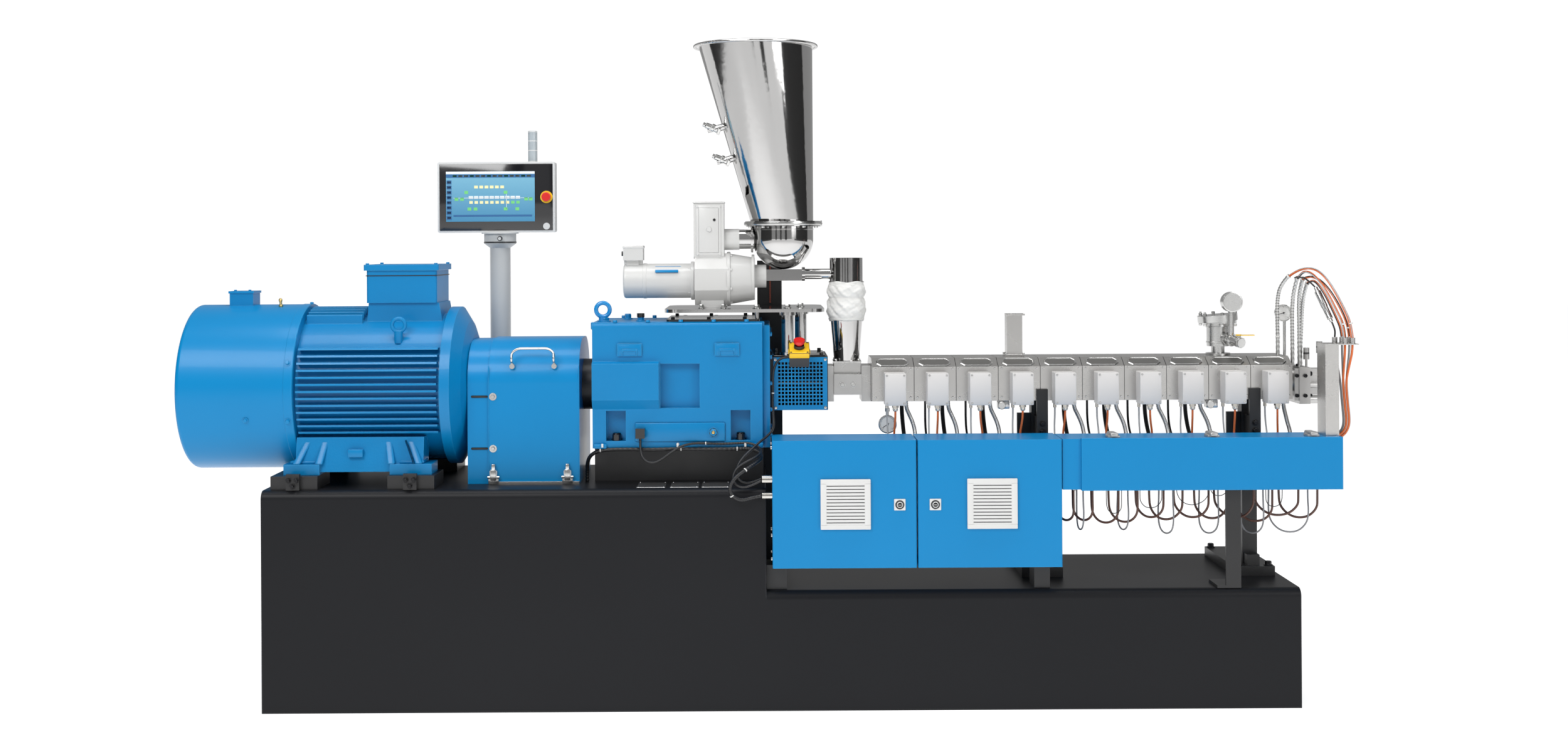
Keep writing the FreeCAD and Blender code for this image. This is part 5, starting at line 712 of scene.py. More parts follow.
for number, (x, y, lean, slip) in enumerate(((1.665, -0.246, -0.009, 0.004), (1.683, -0.284, -0.0045, -0.005),
                                             (1.687, -0.246, 0.0, 0.004), (1.705, -0.284, 0.0045, -0.005),
                                             (1.709, -0.246, 0.009, 0.004))):
    fix(smooth_line(f"riser_cable_{number + 1}", [(x, y, 1.077), (x, y, 1.055),
                                                  ((x + 1.686 + lean) / 2, (y - 0.262 + slip) / 2, 1.012),
                                                  (1.686 + lean, -0.262 + slip, 0.965),
                                                  (1.69 + lean, -0.263 + slip, 0.905),
                                                  (1.696 + lean, -0.262 + slip, 0.85),
                                                  (1.693 + lean, -0.26 + slip, 0.826),
                                                  (1.6814 + 0.8 * lean, -0.257 + 1.1 * slip, 0.8063 - 0.5 * lean),
                                                  (1.659, -0.254 + 1.2 * slip, 0.7936 - 1.1 * lean)], 0.0068,
                    (sensor_sheath, orange_silicone)[number % 2]), "steel_hose", "head_cables")


# ------------------------------------------------------------------ base frame
# A welded steel box, high under the drive and low under the process section, painted semi-gloss anthracite.
# Its long edges are folded to a radius. Three bare rating plates are riveted on top beside the gearbox.

def cover(node_name, *finishes):
    """Gives a CAD node its finish."""
    slots = nodes[node_name].material_slots
    for slot, each in zip(slots, finishes * len(slots)):
        slot.link = "OBJECT"
        slot.material = each


anthracite = finish("anthracite_paint", (0.0105, 0.011, 0.013), 0.38, coat=0.0, shine=0.16, darkening=0.18,
                    patches=1.6, spread=0.08, grain_scale=520, bump=0.05, edge=0.006,
                    edge_colour=(0.05, 0.052, 0.056))
plate_steel = finish("plate_steel", (0.5, 0.5, 0.5), 0.32, metallic=1.0, darkening=0.15, patches=40,
                     stretch=(1, 30, 1), grain_scale=120, bump=0.04)
cover("base_frame", anthracite)


def add_bolt(shape, point, axis, across, height, sides=6, washer=0.0):
    """A bolt head seen end on: a hexagon, or a round cap, on its washer."""
    up = Vector(axis).normalized()
    point = Vector(point)
    if washer:
        add_round(shape, [(0, 0), (washer, 0), (washer, 0.12 * across), (0, 0.12 * across)], point, up, 20)
        point = point + up * 0.12 * across
    if sides == 6:
        add_round(shape,
                  [(0, 0), (0.5 * across, 0), (0.5 * across, 0.8 * height), (0.44 * across, height), (0, height)],
                  point, up, 6)
    else:
        add_round(shape, [(0, 0), (0.5 * across, 0), (0.5 * across, 0.82 * height), (0.42 * across, height),
                          (0.24 * across, height), (0.22 * across, 0.5 * height), (0, 0.5 * height)], point, up, 20)


plates = bmesh.new()
for left, right in ((-0.43, -0.345), (-0.33, -0.245), (-0.236, -0.153)):
    add_block(plates, (left, -0.267, 0.66), (right, -0.16, 0.6612), 0.0005, 1)
    for x in (left + 0.005, right - 0.005):
        for y in (-0.262, -0.165):
            add_round(plates, [(0, 0), (0.0022, 0), (0.0016, 0.0012), (0, 0.0015)], (x, y, 0.6612), (0, 0, 1), 12)
fit_piece("rating_plates", plates, plate_steel, "bright_steel")


# ------------------------------------------------------------------ main motor
# A cast, finned induction motor with a round sheet-steel fan cowl, painted process blue. Its feet stand on
# black rails with jacking screws. The terminal box sits on top, and lifting eyes are screwed to the sides.

blue_cast = finish("blue_cast_paint", (0.0, 0.2, 0.47), 0.34, coat=0.12, shine=0.28, darkening=0.12, patches=5,
                   spread=0.08, grain_scale=160, bump=0.16, detail=4.0, edge=0.0025, edge_colour=(0.05, 0.34, 0.65))
black_steel = finish("black_steel", (0.014, 0.014, 0.015), 0.42, darkening=0.2, patches=10, grain_scale=420,
                     bump=0.1, edge=0.0012, edge_colour=(0.05, 0.05, 0.052))
dark_bolt = finish("black_bolt", (0.025, 0.025, 0.027), 0.36, metallic=0.8, darkening=0.2, patches=40, edge=0.0006,
                   edge_colour=(0.16, 0.16, 0.16))
bright_bolt = finish("bright_bolt", (0.6, 0.6, 0.59), 0.26, metallic=1.0, darkening=0.2, patches=50, edge=0.0005)
brass = finish("brass", (0.72, 0.5, 0.2), 0.28, metallic=1.0, darkening=0.2, patches=60)
for name in ("motor_housing", "motor_end_shield", "motor_terminal_box"):
    cover(name, blue_cast)
cover("motor_fan_cowl", process_blue)
cover("motor_rails", black_steel)

motor_axis = 0.95
cowl = bmesh.new()
add_round(cowl, [(0.2552, -0.003), (0.2563, -0.002), (0.2563, 0.022), (0.2552, 0.023)], (-1.486, 0, motor_axis),
          (1, 0, 0), 96)
fit_piece("cowl_band", cowl, process_blue, "blue_paint", smooth=30)

grille = bmesh.new()
for radius in (0.045, 0.075, 0.105, 0.135, 0.165, 0.195):
    add_round(grille, [(radius - 0.0018, 0), (radius + 0.0018, 0), (radius + 0.0018, 0.003),
                       (radius - 0.0018, 0.003), (radius - 0.0018, 0)], (-1.8125, 0, motor_axis), (1, 0, 0), 72)
for number in range(12):
    made = add_block(grille, (-1.8125, -0.0022, 0.04), (-1.8095, 0.0022, 0.222), 0.0008, 1)
    bmesh.ops.rotate(grille, cent=(0, 0, 0), matrix=Matrix.Rotation(math.radians(30 * number), 3, "X"), verts=made)
    bmesh.ops.translate(grille, vec=(0, 0, motor_axis), verts=made)
add_round(grille, [(0, 0), (0.05, 0), (0.05, 0.003), (0.046, 0.0045), (0, 0.0045)], (-1.8096, 0, motor_axis),
          (-1, 0, 0), 48)
fit_piece("cowl_grille", grille, process_blue, "blue_paint")

cowl_screws = bmesh.new()
for turn in (20, 100, 160, 200, 260, 340):
    out = Vector((0, -math.cos(math.radians(turn)), math.sin(math.radians(turn))))
    add_bolt(cowl_screws, Vector((-1.478, 0, motor_axis)) + out * 0.2558, out, 0.013, 0.006, washer=0.01)
add_bolt(cowl_screws, (-1.605, -0.2415, 0.866), (0, -0.94, -0.33), 0.012, 0.005, washer=0.009)
add_bolt(cowl_screws, (-1.7, -0.02, 1.248), (0, 0, 1), 0.01, 0.004)
add_bolt(cowl_screws, (-1.655, -0.02, 1.248), (0, 0, 1), 0.01, 0.004)
fit_piece("cowl_screws", cowl_screws, process_blue, "blue_paint")

nipple = bmesh.new()
add_round(nipple, [(0, 0), (0.0065, 0), (0.0065, 0.006), (0.004, 0.008), (0.004, 0.016), (0.0055, 0.018),
                   (0.0055, 0.024), (0.003, 0.027), (0, 0.027)], (-1.549, -0.052, 1.199), (0, -0.21, 0.98), 16)
fit_piece("grease_nipple", nipple, brass, "bright_steel")


def steps_round(count, first):
    """The cosine and sine of equal steps round a circle, from a first angle in degrees."""
    turns = [math.radians(first + 360 / count * number) for number in range(count)]
    return [(math.cos(turn), math.sin(turn)) for turn in turns]


casting = bmesh.new()
for side in (-1, 1):
    near, far = sorted((side * 0.15, side * 0.245))
    plate = [casting.verts.new(place) for place in ((-1.372, side * 0.228, 0.733), (-1.18, side * 0.228, 0.733),
                                                    (-1.196, side * 0.196, 0.792), (-1.356, side * 0.196, 0.792))]
    casting.faces.new(plate)
    deep = bmesh.ops.extrude_face_region(casting, geom=casting.faces[-1:])["geom"]
    bmesh.ops.translate(casting, vec=(0, -side * 0.03, 0),
                        verts=[item for item in deep if isinstance(item, bmesh.types.BMVert)])
    for x, lean in ((-1.452, 0.03), (-1.385, 0.014), (-1.168, -0.014), (-1.086, -0.03)):
        web = add_block(casting, (x - 0.011, near, 0.731), (x + 0.011, far, 0.806), 0.004)
        for corner in web:
            if corner.co.z > 0.77:
                corner.co.x += lean
                corner.co.y -= side * 0.03
for x in (-1.437, -1.109):
    for side in (-1, 1):
        add_block(casting, (x - 0.038, min(side * 0.16, side * 0.232), 0.731),
                  (x + 0.038, max(side * 0.16, side * 0.232), 0.741), 0.004)
fit_piece("motor_foot_webs", casting, blue_cast, "blue_paint", smooth=30)

foot_bolts = bmesh.new()
for x in (-1.437, -1.109):
    for side in (-1, 1):
        add_bolt(foot_bolts, (x, side * 0.205, 0.7405), (0, 0, 1), 0.03, 0.016, washer=0.02)
for x in (-1.453, -1.104):
    for side in (-1, 1):
        for dx, z in ((-0.012, 0.69), (0.012, 0.69), (0.0, 0.672)):
            add_bolt(foot_bolts, (x + dx, side * 0.285, z), (0, side, 0), 0.013, 0.011, washer=0.0085)
fit_piece("motor_foot_bolts", foot_bolts, dark_bolt, "black_steel")

small_box = bmesh.new()
add_block(small_box, (-1.299, -0.24, 0.752), (-1.254, -0.206, 0.776), 0.003)
fit_piece("condensate_box", small_box, blue_cast, "blue_paint")

motor_screws = bmesh.new()
for x in (-1.268, -1.057):
    for side in (-1, 1):
        add_bolt(motor_screws, (x, side * 0.102, 1.3285), (0, 0, 1), 0.012, 0.005)
for across, up in steps_round(8, 22.5):
    add_bolt(motor_screws, (-0.9515, 0.135 * across, motor_axis + 0.135 * up), (1, 0, 0), 0.018, 0.009,
             washer=0.013)
    add_bolt(motor_screws, (-1.02, -0.238 * across, motor_axis + 0.238 * up), (1, 0, 0), 0.014, 0.008)
fit_piece("motor_cover_screws", motor_screws, blue_cast, "blue_paint")

box_seam = bmesh.new()
add_block(box_seam, (-1.2725, -0.1062, 1.2935), (-1.0525, 0.1062, 1.296), 0)
add_block(box_seam, (-1.274, -0.06, 1.24), (-1.27, 0.06, 1.285), 0.002)
fit_piece("terminal_box_seal", box_seam, dial_black, "blue_paint")

ring = bmesh.new()
circle = bmesh.ops.create_circle(ring, segments=12, radius=0.006)
bmesh.ops.rotate(ring, cent=(0, 0, 0), matrix=Matrix.Rotation(math.radians(90), 3, "X"), verts=circle["verts"])
bmesh.ops.translate(ring, vec=(0.02, 0, 0), verts=circle["verts"])
bmesh.ops.spin(ring, geom=circle["verts"] + ring.edges[:], cent=(0, 0, 0), axis=(0, 0, 1), angle=2 * math.pi,
               steps=32, use_merge=True)
bmesh.ops.rotate(ring, cent=(0, 0, 0), matrix=Matrix.Rotation(math.radians(90), 3, "X"), verts=ring.verts)
bmesh.ops.translate(ring, vec=(-1.159, -0.168, 1.146), verts=ring.verts)
fit_piece("motor_lifting_eye", ring, blue_cast, "blue_paint")


# ------------------------------------------------------------------ coupling guard
# A sheet-steel hood over the coupling, bolted down and painted blue: an outer hood with a bright lift-off
# handle and two toggle latches on the operator's side, and an inner hood that slides under it.

cover("coupling_guard", process_blue)
cover("guard_fittings", drawn_steel)
cover("shaft_coupling", black_steel)

# Black strips just behind the guard's slotted holes stand for the shade inside the hood: painted shade.
slot_shade = bmesh.new()
for z in (0.926, 0.768):
    add_block(slot_shade, (-0.94, -0.1668, z - 0.0032), (-0.889, -0.1655, z + 0.0032), 0.0028)
fit_piece("guard_slot_shade", slot_shade, dial_black, "blue_paint")

guard_screws = bmesh.new()
for z in (0.926, 0.768):
    for side in (-1, 1):
        add_bolt(guard_screws, (-0.873, side * 0.17, z), (0, side, 0), 0.012, 0.006, washer=0.0115)
for x in (-0.814, -0.686):
    add_round(guard_screws, [(0, 0), (0.009, 0), (0.008, 0.003), (0, 0.003)], (x, -0.17, 1.018), (0, -1, 0), 20)
fit_piece("guard_screws", guard_screws, bright_bolt, "bright_steel")

guard_edges = bmesh.new()
add_block(guard_edges, (-0.8875, -0.1712, 0.668), (-0.8845, -0.17, 1.02), 0.0005, 1)
add_block(guard_edges, (-0.6125, -0.1712, 0.668), (-0.6095, -0.17, 1.02), 0.0005, 1)
fit_piece("guard_folds", guard_edges, process_blue, "blue_paint")

latches = bmesh.new()
for x in (-0.871, -0.646):
    add_block(latches, (x - 0.016, -0.1805, 0.662), (x + 0.016, -0.1705, 0.682), 0.002)
    add_block(latches, (x - 0.0095, -0.187, 0.672), (x + 0.0095, -0.179, 0.706), 0.003)
    add_block(latches, (x - 0.0055, -0.184, 0.7), (x + 0.0055, -0.1708, 0.722), 0.002)
    add_round(latches, [(0, 0), (0.0042, 0), (0.0042, 0.036), (0, 0.036)], (x - 0.018, -0.179, 0.682), (1, 0, 0),
              12)
fit_piece("guard_latches", latches, drawn_steel, "bright_steel")


# ------------------------------------------------------------------ gearbox
# A cast-iron reduction gearbox, machined on its joint faces and painted blue, on a black pedestal. The plugs,
# shackle and lifting pads belong to the casting; the top cover is glossy black.

cover("gearbox_housing", blue_cast)
cover("gearbox_pedestal", black_steel)
gloss_black = finish("gloss_black", (0.01, 0.01, 0.011), 0.16, coat=0.5, darkening=0.1, patches=6, bump=0.01)
fittings_paint = finish("gearbox_fittings_paint", (0.01, 0.01, 0.011), 0.16, coat=0.4, darkening=0.1, patches=6,
                        bump=0.01)
made, link = fittings_paint.node_tree.nodes, fittings_paint.node_tree.links.new
where, parts_of, at_shackle, colours = (made.new("ShaderNodeTexCoord"), made.new("ShaderNodeSeparateXYZ"),
                                        made.new("ShaderNodeMath"), made.new("ShaderNodeMix"))
link(where.outputs["Object"], parts_of.inputs[0])
at_shackle.operation = "LESS_THAN"
at_shackle.inputs[1].default_value = -0.512
link(parts_of.outputs["X"], at_shackle.inputs[0])
colours.data_type = "RGBA"
colours.inputs["A"].default_value = (0.01, 0.01, 0.011, 1.0)
colours.inputs["B"].default_value = (0.0008, 0.215, 0.53, 1.0)
link(at_shackle.outputs[0], colours.inputs["Factor"])
link(colours.outputs["Result"], made["Principled BSDF"].inputs["Base Color"])
cover("gearbox_fittings", fittings_paint)

gear_cast = bmesh.new()
add_block(gear_cast, (-0.44, -0.186, 0.788), (-0.166, -0.1795, 0.846), 0.004)
for x in (-0.455, -0.159):
    add_block(gear_cast, (x - 0.037, -0.1868, 1.048), (x + 0.037, -0.1795, 1.086), 0.006)
    add_block(gear_cast, (x - 0.022, -0.1885, 1.062), (x + 0.022, -0.186, 1.07), 0.001)
    for turn in (x - 0.024, x + 0.02):
        add_block(gear_cast, (turn, -0.1885, 1.05), (turn + 0.004, -0.186, 1.07), 0.001)
add_block(gear_cast, (-0.575, -0.158, 1.128), (-0.045, -0.148, 1.1505), 0.003)
for x in (-0.545, -0.07):
    add_block(gear_cast, (x - 0.02, -0.194, 0.768), (x + 0.02, -0.15, 0.782), 0.004)
add_block(gear_cast, (-0.0535, -0.1585, 0.765), (-0.0285, 0.1585, 1.1385), 0.003)
fit_piece("gearbox_castings", gear_cast, blue_cast, "blue_paint")

plugs = bmesh.new()
add_bolt(plugs, (-0.538, -0.118, 1.149), (0, 0, 1), 0.034, 0.01, washer=0.021)
for x, y in ((-0.429, -0.06), (-0.48, 0.09)):
    add_bolt(plugs, (x, y, 1.149), (0, 0, 1), 0.022, 0.014, washer=0.015)
for x in (-0.5, -0.4, -0.3, -0.2, -0.1):
    add_bolt(plugs, (x, -0.168, 1.149), (0, 0, 1), 0.014, 0.008)
    add_bolt(plugs, (x, 0.168, 1.149), (0, 0, 1), 0.014, 0.008)
add_bolt(plugs, (-0.202, -0.186, 0.816), (0, -1, 0), 0.024, 0.007, washer=0.016)
for z in (0.8, 0.88, 0.96, 1.04, 1.11):
    for side in (-1, 1):
        add_bolt(plugs, (-0.029, side * 0.143, z), (1, 0, 0), 0.014, 0.007)
fit_piece("gearbox_plugs", plugs, blue_cast, "blue_paint")

pocket_bolts = bmesh.new()
for x in (-0.498, -0.119):
    add_bolt(pocket_bolts, (x, -0.146, 0.79), (0, 0, 1), 0.026, 0.018, sides=20, washer=0.017)
for x in (-0.325, -0.215, -0.105):
    for side in (-1, 1):
        add_bolt(pocket_bolts, (x, side * 0.138, 1.157), (0, 0, 1), 0.012, 0.007, sides=20)
for x in (-0.54, -0.4, -0.22, -0.08):
    for side in (-1, 1):
        add_bolt(pocket_bolts, (x, side * 0.095, 0.66), (0, 0, 1), 0.022, 0.012, washer=0.015)
fit_piece("gearbox_bolts", pocket_bolts, dark_bolt, "black_steel")

sight = bmesh.new()
add_round(sight, [(0, 0), (0.0055, 0), (0.004, 0.002), (0, 0.0026)], (-0.202, -0.1965, 0.816), (0, -1, 0), 20)
fit_piece("oil_sight", sight, brass, "bright_steel")

clips = bmesh.new()
for x in (-0.538, -0.31, -0.105):
    add_round(clips, [(0, 0), (0.0045, 0), (0.0045, 0.003), (0.003, 0.003), (0.003, 0.013), (0, 0.013)],
              (x, -0.18, 0.78 if x > -0.5 else 0.775), (0, -1, -0.2), 14)
    add_block(clips, (x - 0.003, -0.1995, 0.7725), (x + 0.003, -0.1975, 0.784), 0.0008, 1)
fit_piece("loom_clips", clips, white_nylon, "black_cable")


# ------------------------------------------------------------------ lantern between gearbox and barrels
# A black cast lantern joins the gearbox to the first barrel and holds both screw shafts. A blue sheet with
# square holes is screwed over its open front, and a black top plate closes it.

cover("lantern_housing", black_steel)
cover("screw_shafts", drawn_steel)

mesh_left, mesh_foot, mesh_width, mesh_height = -0.018, 0.876, 0.165, 0.162
columns, levels = 46, 43
mesh_guard = bmesh.new()
bmesh.ops.create_grid(mesh_guard, x_segments=columns, y_segments=levels, size=0.5)
bmesh.ops.scale(mesh_guard, vec=(mesh_width, mesh_height, 1), verts=mesh_guard.verts)
bmesh.ops.rotate(mesh_guard, cent=(0, 0, 0), matrix=Matrix.Rotation(math.radians(90), 3, "X"),
                 verts=mesh_guard.verts)
bmesh.ops.translate(mesh_guard, vec=(0.0645, -0.1275, 0.957), verts=mesh_guard.verts)
holes = []
for face in mesh_guard.faces:
    middle = face.calc_center_median()
    column = int((middle.x - mesh_left) / mesh_width * columns)
    row = int((middle.z - mesh_foot) / mesh_height * levels)
    if column % 3 and row % 3 and 3 <= column < columns - 3 and 3 <= row < levels - 3:
        holes.append(face)
bmesh.ops.delete(mesh_guard, geom=holes, context="FACES")
bmesh.ops.recalc_face_normals(mesh_guard, faces=mesh_guard.faces)
bmesh.ops.solidify(mesh_guard, geom=mesh_guard.faces[:], thickness=0.0015)
fit_piece("lantern_mesh", mesh_guard, process_blue, "blue_paint", "lantern_guard", smooth=30)

lantern_bolts = bmesh.new()
for x in (-0.012, 0.141):
    for z in (0.883, 1.031):
        add_round(lantern_bolts, [(0, 0), (0.0052, 0), (0.0044, 0.0022), (0, 0.003)], (x, -0.1275, z), (0, -1, 0),
                  20)
fit_piece("lantern_screws", lantern_bolts, bright_bolt, "bright_steel")

lantern_cap = bmesh.new()
add_block(lantern_cap, (-0.022, -0.118, 1.0398), (0.142, 0.118, 1.044), 0.0015)
for x in (-0.01, 0.06, 0.13):
    for y in (-0.105, 0.105):
        add_bolt(lantern_cap, (x, y, 1.044), (0, 0, 1), 0.012, 0.008, sides=20)
fit_piece("lantern_top", lantern_cap, gloss_black, "black_steel")


# ------------------------------------------------------------------ feed throat, funnel, cloth sleeve and tube
# The feed barrel is machined steel, with a polished funnel standing in its mouth. A white cloth sleeve is tied
# round the funnel and the feeder's outlet tube, and hangs between them in soft folds.

ground_steel = finish("ground_steel", (0.56, 0.555, 0.545), 0.3, metallic=1.0, darkening=0.22, patches=12,
                      spread=0.14, stretch=(0.6, 8, 8), grain_scale=260, bump=0.05, edge=0.0009,
                      edge_colour=(0.8, 0.8, 0.79))
mirror_steel = finish("mirror_steel", (0.56, 0.555, 0.55), 0.085, metallic=1.0, darkening=0.1, patches=4,
                      spread=0.06, stretch=(14, 14, 1), grain_scale=60, bump=0.012)
cover("feed_barrel", ground_steel)
cover("feed_funnel", mirror_steel)
cover("feed_tube", mirror_steel)

feed_bolts = bmesh.new()
for y in (-0.034, 0.034):
    for x in (0.177, 0.249):
        add_bolt(feed_bolts, (x, y, 1.019), (0, 0, 1), 0.01, 0.007, sides=20)
for x in (0.196, 0.23):
    add_bolt(feed_bolts, (x, -0.07, 0.948), (0, -1, 0), 0.014, 0.006, washer=0.01)
fit_piece("feed_bolts", feed_bolts, bright_bolt, "bright_steel")

white_cloth = finish("white_cloth", (0.78, 0.78, 0.76), 0.85, darkening=0.1, patches=22, grain_scale=1500, bump=0.3)
sleeve = bmesh.new()
sides, levels = 128, 46
low_end, low_tie, waist, high_tie, high_end = 1.1445, 1.15, 1.216, 1.259, 1.2665
rows = []
for level in range(levels + 1):
    z = low_end + (high_end - low_end) * level / levels
    ring = bmesh.ops.create_circle(sleeve, segments=sides, radius=1.0)["verts"]
    for corner in ring:
        turn = math.atan2(corner.co.y, corner.co.x)
        fold = (0.55 * math.sin(6 * turn + 1.3 * math.sin(z * 210)) + 0.45 * math.sin(11 * turn + 160 * z)
                + 0.35 * abs(math.sin(8.5 * turn - 230 * z)) + 0.25 * math.sin(19 * turn + 310 * z))
        ends = (min(1.0, abs(z - low_tie) / 0.012) * min(1.0, abs(z - waist) / 0.008 + 0.25)
                * min(1.0, abs(z - high_tie) / 0.01))
        below = math.sin(math.pi * max(0.0, min(1.0, (z - low_tie) / 0.066))) ** 0.7 * (z <= waist)
        above = math.sin(math.pi * max(0.0, min(1.0, (z - waist) / 0.043))) ** 0.7 * (z > waist)
        belly = 0.0535 + 0.0062 * below + 0.0058 * above
        radius = min(belly + 0.003 * fold * ends, 0.0638)
        corner.co = Vector((0.213 + radius * math.cos(turn), radius * math.sin(turn),
                            z + 0.002 * math.sin(5 * turn) * (level in (0, levels))))
    rows.append(ring)
loops = [[sleeve.edges.get((ring[k - 1], ring[k])) for k in range(sides)] for ring in rows]
for one, other in zip(loops, loops[1:]):
    bmesh.ops.bridge_loops(sleeve, edges=one + other)
sleeve_piece = piece_from("cloth_sleeve_look", sleeve, white_cloth, smooth=180)
wall = sleeve_piece.modifiers.new("cloth_wall", "SOLIDIFY")
wall.thickness, wall.offset = 0.0008, -1.0
fix(sleeve_piece, "white_cloth", "cloth_sleeve")
bands = bmesh.new()
for z, radius in ((1.15, 0.0548), (1.256, 0.0546)):
    add_round(bands, [(radius, -0.0025), (radius + 0.0012, -0.002), (radius + 0.0012, 0.002), (radius, 0.0025)],
              (0.213, 0, z), (0, 0, 1), 64)
fit_piece("sleeve_bands", bands, white_cloth, "white_cloth", "cloth_sleeve")


# ------------------------------------------------------------------ barrels, insulating covers and their boxes
# Ten steel barrels in a row, each under a brushed stainless cover with sloped shoulders. A folded grip is let
# into each cover's top. Grey connection boxes hang on the operator's side, with nickel-plated glands below.

cover_steel = finish("brushed_cover_steel", (0.6, 0.59, 0.575), 0.27, metallic=1.0, darkening=0.16, patches=7,
                     spread=0.12, stretch=(1, 1, 26), grain_scale=90, bump=0.05, edge=0.0008,
                     edge_colour=(0.85, 0.84, 0.82))
# A darker steel for the grips' sunken pans: painted shade in the recess.
grip_shade = finish("grip_recess_painted_shade", (0.3, 0.295, 0.285), 0.34, metallic=1.0, darkening=0.25, patches=12)
dark_steel = finish("dark_steel", (0.16, 0.155, 0.15), 0.4, metallic=0.9, darkening=0.3, patches=30)
case_grey = finish("case_grey", (0.62, 0.605, 0.595), 0.42, darkening=0.06, patches=14, grain_scale=900, bump=0.08,
                   edge=0.0009, edge_colour=(0.75, 0.75, 0.75))
nickel = finish("nickel_plate", (0.6, 0.58, 0.54), 0.22, metallic=1.0, darkening=0.15, patches=60)
cover("barrel_covers", cover_steel)
cover("barrel_sections", dark_steel)
cover("junction_boxes", case_grey)
cover("cable_glands", nickel)

pressing = bmesh.new()
bmesh.ops.create_grid(pressing, x_segments=1, y_segments=1, size=1.0)
bmesh.ops.scale(pressing, vec=(0.05, 0.0215, 1), verts=pressing.verts)
bmesh.ops.bevel(pressing, geom=pressing.verts[:], offset=0.0125, offset_type="OFFSET", segments=1, profile=0.5,
                affect="VERTICES", material=-1)
pan = pressing.faces[:]
for step_in, rise in ((0.003, 0.0018), (0.0016, -0.0004), (0.001, -0.001)):
    bmesh.ops.inset_region(pressing, faces=pan, thickness=step_in, depth=0, use_even_offset=True, use_boundary=True)
    bmesh.ops.translate(pressing, vec=(0, 0, rise), verts=list({corner for face in pan for corner in face.verts}))
# The sunken pan takes the darker steel as painted shade.
for face in pan:
    face.material_index = 1
grip_pressing = bpy.data.meshes.new("grip_pressing")
pressing.to_mesh(grip_pressing)
pressing.free()

barrels_start = 0.285
rims, box_screws, lids, gland_nuts = bmesh.new(), bmesh.new(), bmesh.new(), bmesh.new()
for number in range(10):
    left = barrels_start + barrel_pitch * number
    middle = left + 0.0647
    for side in (-1, 1):
        slope = math.atan2(0.025, 0.045)
        place = Vector((middle, side * 0.0925, 1.0177))
        turn = Matrix.Rotation(-side * slope, 4, "X")
        rims.from_mesh(grip_pressing)
        rims.verts.ensure_lookup_table()
        bmesh.ops.transform(rims, matrix=Matrix.Translation(place + Vector((0, side * 0.0003, 0.0006))) @ turn,
                            verts=rims.verts[-len(grip_pressing.vertices):])
        for z in (0.912, 1.0):
            for dx in (-0.054, 0.054):
                add_round(box_screws, [(0, 0), (0.0032, 0), (0.0026, 0.0014), (0, 0.0018)],
                          (middle + dx, side * 0.115, z), (0, side, 0), 12)
    centre = first_box + barrel_pitch * number
    add_block(lids, (centre - 0.0316, -0.1762, 0.8924), (centre + 0.0316, -0.167, 0.9896), 0.003)
    for dx in (-0.0262, 0.0262):
        for z in (0.8984, 0.9836):
            add_round(box_screws,
                      [(0, 0), (0.0034, 0), (0.003, 0.0012), (0.0012, 0.0012), (0.001, 0.0004), (0, 0.0004)],
                      (centre + dx, -0.1762, z), (0, -1, 0), 14)
    add_round(gland_nuts, [(0.0078, 0), (0.0103, 0), (0.0103, 0.0062), (0.0078, 0.0062)], (centre, -0.162, 0.8852),
              (0, 0, 1), 6)
    add_round(gland_nuts, [(0.0035, -0.003), (0.0064, -0.002), (0.0078, 0.002), (0.0078, 0.007)],
              (centre, -0.162, 0.8765), (0, 0, 1), 20)
    for ridge in range(10):
        spin = 2 * math.pi * ridge / 10
        add_block(gland_nuts,
                  (centre + 0.0078 * math.cos(spin) - 0.0006, -0.162 + 0.0078 * math.sin(spin) - 0.0006, 0.8775),
                  (centre + 0.0078 * math.cos(spin) + 0.0006, -0.162 + 0.0078 * math.sin(spin) + 0.0006, 0.884), 0)
fit_piece("cover_grips", rims, (drawn_steel, grip_shade), "brushed_steel", smooth=20)
fit_piece("junction_box_lids", lids, case_grey, "light_grey_case")
fit_piece("cover_and_box_screws", box_screws, bright_bolt, "bright_steel")
fit_piece("box_gland_nuts", gland_nuts, nickel, "bright_steel")

gaps = bmesh.new()
for number in range(1, 10):
    x = barrels_start + barrel_pitch * number
    add_block(gaps, (x - 0.0011, -0.1146, 0.901), (x + 0.0011, 0.1146, 1.004), 0)
fit_piece("cover_joint_shadows", gaps, dial_black, "dark_steel")


# ------------------------------------------------------------------ vents
# A rectangular stub with a flat lid vents the fourth barrel. The ninth carries a vacuum dome with a swing lid
# and clamp bolts, a side branch with a small valve and a dial gauge, all in stainless steel.

cover("vent_stub", cover_steel)
cover("vacuum_vent", drawn_steel)
yellow_paint = finish("yellow_paint", (0.82, 0.5, 0.01), 0.35, coat=0.2, darkening=0.08, patches=30, edge=0.0006)
cover("vent_valve_lever", yellow_paint)
vent_x = 1.3799
vent_bolts = bmesh.new()
for along, across in steps_round(6, 30):
    place = Vector((vent_x + 0.0545 * along, 0.0545 * across, 1.14))
    add_bolt(vent_bolts, place - Vector((0, 0, 0.012)), (0, 0, -1), 0.011, 0.007)
    add_round(vent_bolts, [(0, 0), (0.0035, 0), (0.0035, 0.03), (0, 0.031)], place - Vector((0, 0, 0.006)),
              (0, 0, 1), 12)
    add_bolt(vent_bolts, place + Vector((0, 0, 0.017 + 0.0047 * along)), (0, 0, 1), 0.011, 0.007)
for x in (0.7105, 0.7653):
    for y in (-0.022, 0.022):
        add_bolt(vent_bolts, (x, y, 1.036), (0, 0, 1), 0.008, 0.005, sides=20)
fit_piece("vent_bolts", vent_bolts, bright_bolt, "bright_steel")

